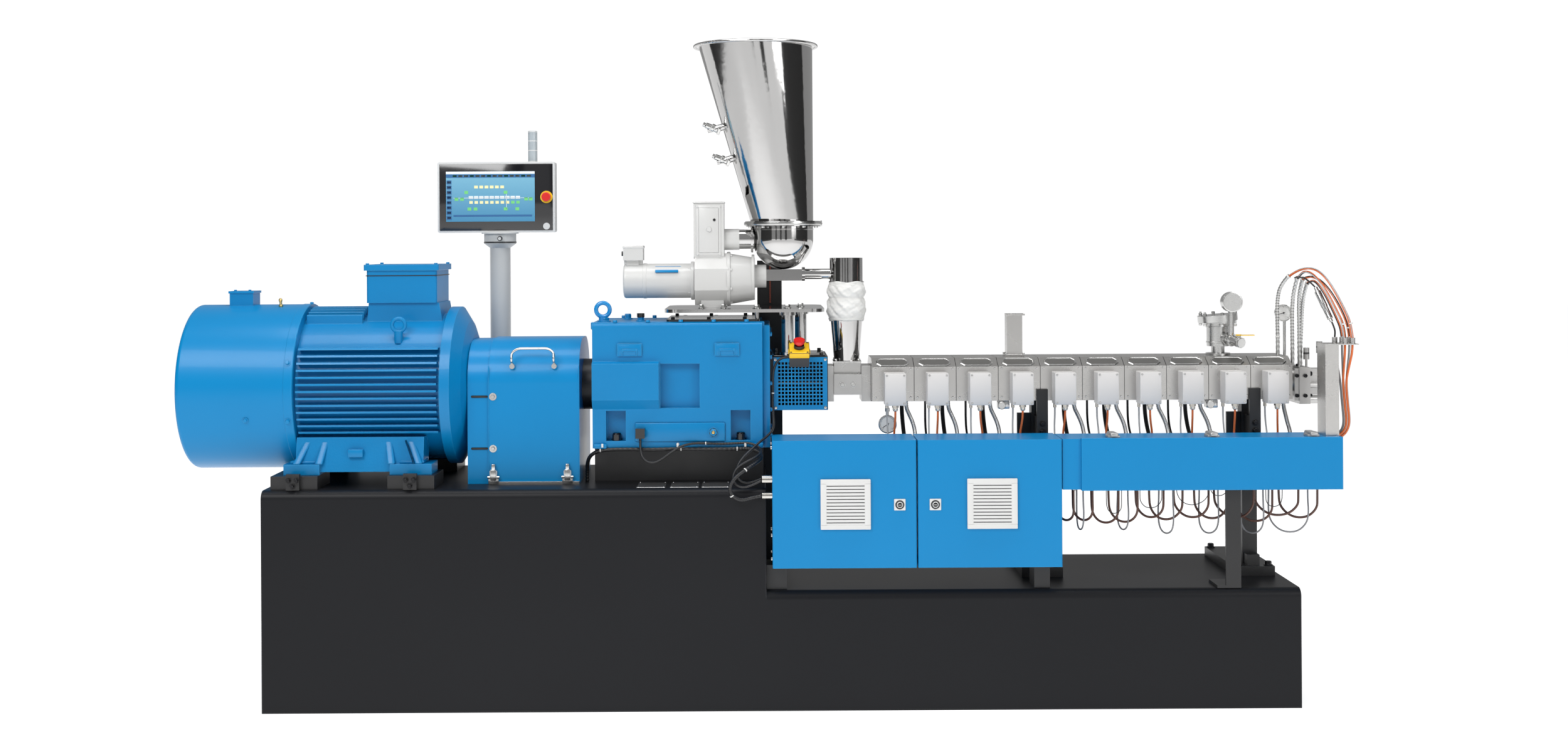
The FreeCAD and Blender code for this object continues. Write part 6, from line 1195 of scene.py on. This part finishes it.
vent_bands = bmesh.new()
for radius, z in ((0.0352, 1.07), (0.0352, 1.118)):
    add_round(vent_bands, [(radius - 0.001, -0.003), (radius + 0.0012, -0.002), (radius + 0.0012, 0.002),
                           (radius - 0.001, 0.003)], (vent_x, 0, z), (0, 0, 1), 48)
branch = Vector((0.42, -0.89, -0.16)).normalized()
for reach, radius in ((0.045, 0.02), (0.062, 0.02), (0.1, 0.0185)):
    add_round(vent_bands, [(0.0148, 0), (radius, 0.0005), (radius, 0.0065), (0.0148, 0.007)],
              Vector((vent_x, 0, 1.09)) + branch * reach, branch, 32 if reach < 0.09 else 6)
fit_piece("vent_bands", vent_bands, drawn_steel, "brushed_steel")

add_gauge("vent_gauge", (1.4059, -0.0785, 1.198), 0.0312, 0.029,
          ([(0, 0), (0.0045, 0), (0.0045, 0.01), (0.0075, 0.01), (0.0075, 0.022), (0, 0.022)],
           (1.4059, -0.06, 1.148), (0, 0, 1)), 120, "brushed_steel")


# ------------------------------------------------------------------ die head
# The strand die is a stack of machined plates bolted to the last barrel, with a nozzle row at its end, two
# tie rods with nuts, and a screen lever with black ball knobs.

cover("die_head", ground_steel)
die_bolts = bmesh.new()
for y in (-0.04, 0.04):
    for z in (0.902, 0.972):
        add_bolt(die_bolts, (1.652, y, z), (1, 0, 0), 0.015, 0.01, sides=20)
for x in (1.611, 1.636):
    for z in (0.905, 0.967):
        add_bolt(die_bolts, (x, -0.053 if x < 1.62 else -0.057, z), (0, -1, 0), 0.012, 0.006, sides=20)
for x in (1.6, 1.63):
    add_bolt(die_bolts, (x, 0, 0.989 if x < 1.62 else 0.993), (0, 0, 1), 0.012, 0.007, sides=20)
fit_piece("die_bolts", die_bolts, dark_bolt, "bright_steel")
strand_nozzles = bmesh.new()
for y in (-0.022, 0.0, 0.022):
    add_round(strand_nozzles, [(0.0025, -0.002), (0.0025, 0.005), (0.006, 0.005), (0.0075, 0), (0.0075, -0.001)],
              (1.694, y, 0.938), (1, 0, 0), 24)
fit_piece("strand_nozzles", strand_nozzles, brass, "bright_steel")
knobs = bmesh.new()
for x, y, z in ((1.692, -0.02, 1.035), (1.659, 0.004, 1.014)):
    add_round(knobs, [(0, 0.0005), (0.005, 0.0005), (0.0078, 0.006), (0.0098, 0.018), (0.009, 0.029),
                      (0.0058, 0.0352), (0, 0.036)], (x, y, z), (0, 0, 1), 28)
fit_piece("lever_knobs", knobs, gloss_black, "black_steel")


# ------------------------------------------------------------------ riser and supports
# A stainless duct rises behind the trough's end and carries the head's leads down through glands. Black
# welded supports carry the barrels from the base.

cover("cable_riser", cover_steel)
cover("barrel_supports", black_steel)
cover("cabinet_supports", black_steel)
support_bolts = bmesh.new()
for x in (0.807, 1.46):
    for dx in (-0.048, 0.048):
        for y in (-0.09, 0.223):
            add_bolt(support_bolts, (x + dx, y, 0.385), (0, 0, 1), 0.02, 0.011, washer=0.014)
    for z in (0.806, 0.83):
        add_bolt(support_bolts, (x, -0.126, z), (0, -1, 0), 0.014, 0.008, washer=0.01)
fit_piece("support_bolts", support_bolts, dark_bolt, "black_steel")


# ------------------------------------------------------------------ control cabinets
# Two sheet-steel cabinets side by side, painted process blue, with flush doors. Each door has a white louvred
# filter fan and a square cam lock, and opens on hidden hinges at its outer edge.

for name in ("left_cabinet", "right_cabinet", "left_door", "right_door", "wire_trough", "trough_lid"):
    cover(name, process_blue)
plastic_grey = finish("plastic_light_grey", (0.66, 0.66, 0.65), 0.48, darkening=0.05, patches=20, grain_scale=1200,
                      bump=0.06, edge=0.0008, edge_colour=(0.8, 0.8, 0.8))
lock_black = finish("lock_black", (0.012, 0.012, 0.013), 0.32, coat=0.2, darkening=0.1, patches=40)
for side, fan_x, lock_x in (("left", 0.191, 0.351), ("right", 0.624, 0.456)):
    fan = bmesh.new()
    add_block(fan, (fan_x - 0.074, -0.3335, 0.543), (fan_x + 0.074, -0.3285, 0.691), 0.002)
    for low, high in (((fan_x - 0.074, 0.543), (fan_x + 0.074, 0.5565)),
                      ((fan_x - 0.074, 0.6775), (fan_x + 0.074, 0.691)),
                      ((fan_x - 0.074, 0.5562), (fan_x - 0.056, 0.6778)),
                      ((fan_x + 0.056, 0.5562), (fan_x + 0.074, 0.6778))):
        add_block(fan, (low[0], -0.3372, low[1]), (high[0], -0.33, high[1]), 0.0018)
    for number in range(13):
        z = 0.558 + 0.00985 * number
        add_block(fan, (fan_x - 0.057, -0.3362, z - 0.0038), (fan_x + 0.057, -0.334, z + 0.0038), 0.0006, 1,
                  turn=Matrix.Rotation(math.radians(10), 3, "X"))
    # A black sheet behind the louvres stands for the shade inside the fan: painted shade.
    shade = bmesh.new()
    add_block(shade, (fan_x - 0.0655, -0.3342, 0.552), (fan_x + 0.0655, -0.3332, 0.682), 0)
    lock = bmesh.new()
    add_block(lock, (lock_x - 0.017, -0.3325, 0.598), (lock_x + 0.017, -0.3285, 0.632), 0.002)
    add_round(lock, [(0.009, 0), (0.009, 0.0032), (0.008, 0.0048), (0.0068, 0.0048), (0.0066, 0.002), (0, 0.002)],
              (lock_x, -0.3325, 0.615), (0, -1, 0), 28)
    core = bmesh.new()
    add_round(core, [(0.0094, 0), (0.0135, 0), (0.013, 0.001), (0.0094, 0.001)], (lock_x, -0.3325, 0.615),
              (0, -1, 0), 28)
    add_round(core, [(0, 0), (0.0066, 0), (0.0066, 0.003), (0.0058, 0.0034), (0, 0.0034)], (lock_x, -0.334, 0.615),
              (0, -1, 0), 24)
    slot_bar = bmesh.new()
    add_block(slot_bar, (lock_x - 0.0048, -0.3376, 0.6142), (lock_x + 0.0048, -0.3368, 0.6158), 0.0003, 1)
    for part, shape, surface in (("filter_fan", fan, plastic_grey), ("fan_painted_shade", shade, dial_black),
                                 ("lock_plate", lock, plastic_grey), ("lock_core", core, lock_black),
                                 ("lock_slot", slot_bar, bright_bolt)):
        fit_piece(f"{side}_{part}", shape, surface, "light_grey_case", f"{side}_door_fittings", body=f"{side}_door")

cabinet_end = -0.025
seals = bmesh.new()
for left, right in ((cabinet_end, 0.401), (0.405, 0.831)):
    for low, high in (((left + 0.004, 0.431), (right - 0.004, 0.434)),
                      ((left + 0.004, 0.799), (right - 0.004, 0.802)),
                      ((left + 0.004, 0.431), (left + 0.007, 0.802)),
                      ((right - 0.007, 0.431), (right - 0.004, 0.802))):
        add_block(seals, (low[0], -0.3124, low[1]), (high[0], -0.3119, high[1]), 0)
fit_piece("door_seals", seals, dial_black, "black_steel")

cabinet_screws = bmesh.new()
for z in (0.45, 0.52, 0.78):
    for y in (-0.29, -0.18):
        add_bolt(cabinet_screws, (cabinet_end, y, z), (-1, 0, 0), 0.012, 0.005, sides=20)
fit_piece("cabinet_screws", cabinet_screws, bright_bolt, "bright_steel")


# ------------------------------------------------------------------ wire trough
# A folded blue duct carries the leads beside the barrels. Its lid stands proud in front and is held by three
# light grey toggle clamps on the top. Nickel glands let the hanging cables out below.

clamp_silver = finish("clamp_silver", (0.42, 0.42, 0.42), 0.36, metallic=0.6, darkening=0.15, patches=40,
                      edge=0.0008)
clamps = bmesh.new()
for x in (0.989, 1.284, 1.58):
    add_block(clamps, (x - 0.02, -0.318, 0.805), (x + 0.016, -0.274, 0.814), 0.0025)
    foot = add_block(clamps, (x - 0.014, -0.3275, 0.814), (x + 0.01, -0.26, 0.8245), 0.0045, 3)
    for corner in foot:
        if corner.co.y < -0.318:
            corner.co.z -= 0.004 * (-0.318 - corner.co.y) / 0.0095
        if corner.co.y > -0.272:
            corner.co.z -= 0.005 * (corner.co.y + 0.272) / 0.012
    add_round(clamps, [(0, 0), (0.004, 0), (0.004, 0.03), (0, 0.03)], (x - 0.017, -0.278, 0.8115), (1, 0, 0), 16)
fit_piece("trough_toggle_clamps", clamps, clamp_silver, "bright_steel", "trough_clamps")

trough_nuts = bmesh.new()
for number in range(6):
    x = 0.8786 + 0.1348 * number
    for shift, reach in ((0, 0.0098), (0.0284, 0.009), (0.0567, 0.0098)):
        add_round(trough_nuts, [(0.007, 0), (reach * 0.92, 0), (reach, 0.0008), (reach, 0.004), (0.007, 0.004)],
                  (x + shift, -0.25, 0.6505), (0, 0, 1), 6)
        add_round(trough_nuts, [(0.0038, 0), (0.0062, 0.0006), (0.0078, 0.003), (0.0078, 0.007)],
                  (x + shift, -0.25, 0.6425), (0, 0, 1), 20)
fit_piece("trough_gland_nuts", trough_nuts, lock_black, "bright_steel")

folds = bmesh.new()
add_block(folds, (0.8885, -0.3292, 0.8048), (1.6605, -0.312, 0.8076), 0.0008, 1)
add_block(folds, (0.8885, -0.3292, 0.6524), (1.6605, -0.312, 0.6552), 0.0008, 1)
add_block(folds, (1.657, -0.3292, 0.6524), (1.6605, -0.3, 0.8076), 0.0008, 1)
fit_piece("trough_lid_folds", folds, process_blue, "blue_paint")


# ------------------------------------------------------------------ feeder platform and column
# The feeder stands on a polished plate with round corners, carried by two polished legs and a rod. A black
# column rises behind it, with a chain in reddish links hanging in its open face.

cover("feeder_platform", mirror_steel)
cover("feeder_column", black_steel)
chain_red = finish("chain_primer_red", (0.3, 0.075, 0.05), 0.5, metallic=0.4, darkening=0.35, patches=80)
chain = bmesh.new()
for number in range(34):
    z = 1.196 + 0.0036 * number
    add_block(chain, (-0.0268 if number % 2 else -0.0278, 0.2074, z - 0.0026),
              (-0.0232 if number % 2 else -0.0222, 0.2108, z + 0.0026), 0.0008, 1)
fit_piece("column_chain", chain, chain_red, "black_steel")
platform_bolts = bmesh.new()
for x, y in ((0.027, -0.088), (0.07, 0.02), (-0.068, -0.1)):
    add_bolt(platform_bolts, (x, y, 1.188), (0, 0, 1), 0.018, 0.009, washer=0.013)
for x in (-0.24, -0.172):
    for y in (-0.062, 0.062):
        add_bolt(platform_bolts, (x, y, 1.188), (0, 0, 1), 0.014, 0.01, washer=0.01)
fit_piece("platform_bolts", platform_bolts, bright_bolt, "bright_steel")
collars = bmesh.new()
for x, y in ((0.027, -0.088), (0.07, 0.02)):
    for z in (1.0402, 1.165):
        add_round(collars, [(0.0188, 0), (0.025, 0.0008), (0.025, 0.0112), (0.0188, 0.012)], (x, y, z), (0, 0, 1),
                  32)
fit_piece("leg_collars", collars, mirror_steel, "polished_steel")


# ------------------------------------------------------------------ feeder gearbox and motor
# White-enamelled cast gear cases: a large drum with a cone and neck for the feed screw, a tall upper case for
# the agitator, and a smooth motor with a terminal box. Rims, ribs and cap screws are part of the castings.

enamel = finish("white_enamel", (0.6, 0.6, 0.59), 0.33, coat=0.25, darkening=0.07, patches=8, grain_scale=240,
                bump=0.08, edge=0.002, edge_colour=(0.85, 0.85, 0.85))
cover("feeder_gearbox", enamel)
cover("feeder_motor", enamel)
rings = bmesh.new()
add_round(rings, [(0.07, 0), (0.0835, 0), (0.085, 0.0015), (0.085, 0.0095), (0.0835, 0.011), (0.07, 0.011)],
          (-0.161, 0, 1.277), (1, 0, 0), 64)
add_round(rings, [(0.06, 0), (0.07, 0), (0.0712, 0.0012), (0.0712, 0.008), (0.07, 0.009), (0.06, 0.009)],
          (-0.084, 0, 1.282), (1, 0, 0), 56)
add_round(rings, [(0.04, 0), (0.059, 0), (0.0602, 0.0012), (0.0602, 0.0098), (0.059, 0.011), (0.04, 0.011)],
          (-0.274, 0, 1.272), (1, 0, 0), 56)
add_round(rings, [(0.054, 0), (0.0552, 0.001), (0.0552, 0.011), (0.054, 0.012)], (-0.424, 0, 1.272), (1, 0, 0), 56)
for across, up in steps_round(8, 22.5):
    add_bolt(rings, (-0.15, 0.0775 * across, 1.277 + 0.0775 * up), (1, 0, 0), 0.011, 0.006, sides=20)
for across, up in steps_round(4, 45):
    add_bolt(rings, (-0.2745, 0.05 * across, 1.272 + 0.05 * up), (-1, 0, 0), 0.01, 0.008, sides=20)
add_block(rings, (-0.256, -0.0502, 1.352), (-0.178, -0.0458, 1.508), 0.002)
add_block(rings, (-0.248, -0.052, 1.36), (-0.186, -0.049, 1.5), 0.0025)
add_block(rings, (-0.2665, -0.0495, 1.514), (-0.1665, 0.0495, 1.519), 0.002)
for x in (-0.252, -0.182):
    for z in (1.356, 1.504):
        add_round(rings, [(0, 0), (0.0042, 0), (0.0036, 0.0026), (0, 0.0032)], (x, -0.05, z), (0, -1, 0), 16)
for number in range(7):
    z = 1.236 + 0.012 * number
    add_block(rings, (-0.2625, -0.03, z - 0.0012), (-0.2595, 0.03, z + 0.0012), 0.0005, 1)
add_round(rings, [(0, 0), (0.008, 0), (0.007, 0.004), (0, 0.0045)], (-0.215, -0.052, 1.432), (0, -1, 0), 24)
fit_piece("feeder_case_rims", rings, enamel, "light_grey_case")

motor_bits = bmesh.new()
add_block(motor_bits, (-0.4865, -0.0335, 1.374), (-0.4215, 0.0335, 1.3825), 0.0022)
add_block(motor_bits, (-0.484, -0.014, 1.324), (-0.426, 0.014, 1.338), 0.002)
for x in (-0.48, -0.428):
    for y in (-0.028, 0.028):
        add_round(motor_bits, [(0, 0), (0.0028, 0), (0.002, 0.0008), (0, 0.001)], (x, y, 1.382), (0, 0, 1), 12)
fit_piece("feeder_motor_box_lid", motor_bits, enamel, "light_grey_case")
stripe = bmesh.new()
add_block(stripe, (-0.385, -0.03, 1.3155), (-0.305, 0.0, 1.3185), 0.001)
add_block(stripe, (-0.384, -0.054, 1.299), (-0.312, -0.048, 1.307), 0.001,
          turn=Matrix.Rotation(math.radians(-35), 3, "X"))
fit_piece("feeder_motor_strip", stripe, process_blue, "blue_paint")
dark_cap = bmesh.new()
add_round(dark_cap, [(0, 0), (0.0045, 0), (0.004, 0.0016), (0, 0.002)], (-0.199, -0.052, 1.462), (0, -1, 0), 20)
add_round(dark_cap, [(0, 0), (0.0075, 0), (0.0075, 0.006), (0, 0.006)], (-0.485, -0.012, 1.358), (-1, 0, 0), 20)
fit_piece("feeder_small_caps", dark_cap, lock_black, "light_grey_case")


# ------------------------------------------------------------------ hopper and bowl
# A tall slanted cone of mirror-polished stainless steel with a rolled rim, clamped by a bright ring to the
# feeder's bowl. Two level probes are screwed into its sloping wall.

cover("feed_hopper", mirror_steel)
cover("hopper_bowl", mirror_steel)
clamp_ring = bmesh.new()
add_round(clamp_ring, [(0.1175, 0), (0.1215, 0.0015), (0.1225, 0.0065), (0.1215, 0.0115), (0.1175, 0.013)],
          (0.0155, 0, 1.443), (0, 0, 1), 96)
add_block(clamp_ring, (0.13, -0.012, 1.4395), (0.1375, 0.012, 1.459), 0.002)
fit_piece("hopper_clamp_ring", clamp_ring, drawn_steel, "polished_steel")
clamp_bolts = bmesh.new()
for turn_degrees in (200, 235, 270, 305, 340, 20, 60, 100, 140):
    turn = math.radians(turn_degrees)
    add_bolt(clamp_bolts, (0.0155 + 0.11 * math.cos(turn), 0.11 * math.sin(turn), 1.444), (0, 0, -1), 0.012, 0.008)
add_bolt(clamp_bolts, (0.134, -0.012, 1.449), (0, -1, 0), 0.01, 0.008)
fit_piece("hopper_clamp_bolts", clamp_bolts, bright_bolt, "bright_steel")
probes = bmesh.new()
slant = Vector((-0.93, 0, 0.36))
for place in (Vector((-0.192, -0.02, 1.746)), Vector((-0.163, -0.02, 1.647))):
    add_bolt(probes, place - slant * 0.014, slant, 0.03, 0.009)
    add_round(probes, [(0, 0), (0.0105, 0), (0.0105, 0.012), (0.013, 0.013), (0.013, 0.021), (0.0095, 0.022),
                       (0.0095, 0.04), (0.007, 0.043), (0.007, 0.05), (0, 0.051)], place - slant * 0.006, slant, 24)
fit_piece("level_probe_bodies", probes, drawn_steel, "bright_steel")
seam = bmesh.new()
add_round(seam, [(0.0955, 0), (0.0962, 0.0006), (0.0962, 0.0024), (0.0955, 0.003)], (0.015, 0, 1.43), (0, 0, 1), 96)
add_round(seam, [(0.03, 0), (0.042, 0.001), (0.042, 0.007), (0.03, 0.008)], (-0.086, 0, 1.401), (1, 0, 0), 48)
fit_piece("bowl_bands", seam, mirror_steel, "polished_steel")


# ------------------------------------------------------------------ emergency stop box
# A small two-part plastic box tilted towards the operator on a bent bracket: black base, yellow lid and a red
# mushroom button that presses straight in. Its black hose leaves on the left.

red_button = finish("red_button_plastic", (0.62, 0.012, 0.01), 0.32, coat=0.2, darkening=0.08, patches=40,
                    grain_scale=900, bump=0.03)
yellow_case = finish("yellow_case_plastic", (0.85, 0.52, 0.005), 0.38, coat=0.1, darkening=0.05, patches=30,
                     grain_scale=1200, bump=0.05, edge=0.0008, edge_colour=(0.9, 0.62, 0.08))
cover("estop_box", lock_black)
cover("estop_button", red_button)
tilt = Matrix.Translation((0.06, -0.165, 1.033)) @ Matrix.Rotation(math.radians(26), 4, "X")
lid = bmesh.new()
add_block(lid, (-0.0315, -0.0355, 0.0235), (0.0315, 0.0355, 0.0425), 0.0035, 3)
add_block(lid, (-0.0335, -0.01, 0.024), (0.0335, 0.01, 0.033), 0.002)
bmesh.ops.transform(lid, matrix=tilt, verts=lid.verts)
fit_piece("estop_lid", lid, yellow_case, "yellow_case")
collar = bmesh.new()
add_round(collar, [(0.01, 0.0425), (0.0165, 0.0425), (0.0165, 0.045), (0.0152, 0.052), (0.01, 0.052)], (0, 0, 0),
          (0, 0, 1), 32)
for dx in (-0.025, 0.025):
    for dy in (-0.029, 0.029):
        add_round(collar, [(0, 0.0424), (0.0032, 0.0424), (0.0028, 0.0434), (0, 0.0434)], (dx, dy, 0), (0, 0, 1),
                  14)
bmesh.ops.transform(collar, matrix=tilt, verts=collar.verts)
fit_piece("estop_collar", collar, lock_black, "yellow_case")
mushroom = bmesh.new()
add_round(mushroom, [(0, 0.0582), (0.012, 0.0582), (0.0165, 0.0595), (0.0172, 0.0635), (0.016, 0.0668),
                     (0.012, 0.0686), (0, 0.0691)], (0, 0, 0), (0, 0, 1), 40)
bmesh.ops.transform(mushroom, matrix=tilt, verts=mushroom.verts)
fit_piece("estop_mushroom", mushroom, red_button, "red_button", body="estop_button")


# ------------------------------------------------------------------ control panel on its column
# A light grey tube column with a swivel joint carries a thin panel: black glass in a pale rim, a screen of
# plain coloured blocks, a stop button, a small round button and a signal light on top.

column_grey = finish("column_grey_paint", (0.5, 0.51, 0.51), 0.4, coat=0.15, darkening=0.08, patches=6,
                     grain_scale=500, bump=0.05, edge=0.001, edge_colour=(0.6, 0.6, 0.6))
rim_grey = finish("panel_rim_grey", (0.6, 0.61, 0.61), 0.38, darkening=0.06, patches=10, grain_scale=900, bump=0.04)
panel_glass = finish("panel_black_glass", (0.008, 0.008, 0.01), 0.1, coat=0.6, darkening=0.1, patches=4, bump=0.0)
cover("control_column", column_grey)
cover("control_panel", rim_grey)
glass = bmesh.new()
add_block(glass, (-1.1005, 0.1982, 1.4345), (-0.7315, 0.201, 1.6515), 0.0012)
fit_piece("panel_glass", glass, panel_glass, "panel_case", body="control_panel")

screen_light = bpy.data.materials.new("screen_picture")
screen_light.use_nodes = True
made, link = screen_light.node_tree.nodes, screen_light.node_tree.links.new
surface = made["Principled BSDF"]
surface.inputs["Roughness"].default_value = 0.15
surface.inputs["Emission Strength"].default_value = 0.22
place, rows_of, up, shade = (made.new("ShaderNodeTexCoord"), made.new("ShaderNodeSeparateXYZ"),
                             made.new("ShaderNodeMapRange"), made.new("ShaderNodeMix"))
link(place.outputs["Object"], rows_of.inputs[0])
link(rows_of.outputs["Z"], up.inputs["Value"])
up.inputs["From Min"].default_value, up.inputs["From Max"].default_value = 1.46, 1.63
shade.data_type = "RGBA"
shade.inputs["A"].default_value = (0.055, 0.21, 0.36, 1.0)
shade.inputs["B"].default_value = (0.17, 0.38, 0.5, 1.0)
link(up.outputs["Result"], shade.inputs["Factor"])
link(shade.outputs["Result"], surface.inputs["Base Color"])
link(shade.outputs["Result"], surface.inputs["Emission Color"])
screen = bmesh.new()
add_block(screen, (-1.079, 0.1976, 1.464), (-0.79, 0.1984, 1.627), 0)
fit_piece("screen", screen, screen_light, "panel_case", body="control_panel")


def lit_block(name, colour, strength=0.12):
    """A flat colour on the screen that glows a little."""
    material = finish(name, colour, 0.3, darkening=0.05, patches=60, bump=0.0)
    material.node_tree.nodes["Principled BSDF"].inputs["Emission Color"].default_value = (*colour, 1.0)
    material.node_tree.nodes["Principled BSDF"].inputs["Emission Strength"].default_value = strength
    return material


groups = {"pale": (bmesh.new(), lit_block("screen_pale", (0.72, 0.76, 0.78))),
          "green": (bmesh.new(), lit_block("screen_green", (0.16, 0.55, 0.18))),
          "cream": (bmesh.new(), lit_block("screen_cream", (0.78, 0.72, 0.4))),
          "deep": (bmesh.new(), lit_block("screen_deep", (0.03, 0.12, 0.28)))}


def screen_block(group, x, z, wide, high):
    """One plain block on the screen, placed from its lower left corner in millimetres."""
    add_block(groups[group][0], (-1.079 + x / 1000, 0.1972, 1.464 + z / 1000),
              (-1.079 + (x + wide) / 1000, 0.1977, 1.464 + (z + high) / 1000), 0)


screen_block("pale", 0, 155, 289, 8)
screen_block("deep", 0, 143, 289, 11)
for number in range(14):
    screen_block("cream" if number % 3 else "green", 22 + 18.6 * number, 145.5, 13, 6)
for number in range(8):
    screen_block("deep", 2, 6 + 16.5 * number, 16, 13)
    screen_block("pale", 4, 9 + 16.5 * number, 12, 7)
for number in range(10):
    screen_block("pale", 74 + 17 * number, 74, 14, 9)
    screen_block("cream" if number < 8 else "green", 76 + 17 * number, 58, 11, 9)
for number in range(6):
    screen_block("cream", 92 + 17 * number, 108, 12, 9)
for x, z in ((28, 68), (46, 68), (60, 90), (70, 36), (90, 36), (188, 90), (188, 36), (226, 36), (255, 68),
             (270, 68)):
    screen_block("green", x, z, 12, 10)
screen_block("pale", 24, 76, 256, 1.2)
screen_block("pale", 196, 40, 1.2, 50)
screen_block("deep", 24, 16, 256, 6)
for group, (shape, lit) in groups.items():
    fit_piece(f"screen_{group}_blocks", shape, lit, "panel_case", body="control_panel")

stop_plate = bmesh.new()
add_round(stop_plate, [(0, 0), (0.02, 0), (0.02, 0.001), (0, 0.001)], (-0.752, 0.1982, 1.543), (0, -1, 0), 40)
fit_piece("panel_stop_ring", stop_plate, yellow_case, "panel_case", body="control_panel")
stop_head = bmesh.new()
add_round(stop_head,
          [(0, 0), (0.0143, 0), (0.0143, 0.009), (0.015, 0.011), (0.015, 0.0145), (0.0135, 0.0165), (0, 0.017)],
          (-0.752, 0.2, 1.543), (0, -1, 0), 40)
fit_piece("panel_stop_head", stop_head, red_button, "panel_case", body="control_panel")
white_push = bmesh.new()
add_round(white_push, [(0.008, 0), (0.0112, 0), (0.0108, 0.002), (0.009, 0.0022), (0.0086, 0.0012), (0, 0.0012)],
          (-0.752, 0.1982, 1.448), (0, -1, 0), 36)
fit_piece("panel_round_button", white_push, plastic_grey, "panel_case", body="control_panel")

lamp_glass = finish("signal_light_glass", (0.42, 0.47, 0.5), 0.18, coat=0.4, darkening=0.25, patches=30,
                    stretch=(30, 30, 1), grain_scale=60, bump=0.1)
cover("signal_light", lamp_glass)
lamp_rings = bmesh.new()
for z in (1.658, 1.694, 1.725, 1.7555):
    add_round(lamp_rings, [(0.0145, 0), (0.0152, 0.0005), (0.0152, 0.0035), (0.0145, 0.004)], (-0.8, 0.23, z),
              (0, 0, 1), 32)
fit_piece("signal_light_rings", lamp_rings, rim_grey, "panel_case", body="control_panel")

column_x, column_y = -0.908, 0.23
swivel = bmesh.new()
add_round(swivel, [(0.052, 0), (0.0532, 0.001), (0.0532, 0.004), (0.052, 0.005)], (column_x, column_y, 1.3935),
          (0, 0, 1), 56)
add_round(swivel, [(0, 0), (0.0075, 0), (0.0085, 0.01), (0.007, 0.016), (0, 0.017)], (-0.898, 0.1665, 1.408),
          (0, -1, 0), 20)
fit_piece("swivel_band_and_knob", swivel, lock_black, "grey_paint")
column_bolts = bmesh.new()
for along, across in steps_round(4, 45):
    add_bolt(column_bolts, (column_x + 0.044 * along, column_y + 0.044 * across, 0.672), (0, 0, 1), 0.012, 0.007)
fit_piece("column_foot_bolts", column_bolts, bright_bolt, "bright_steel")
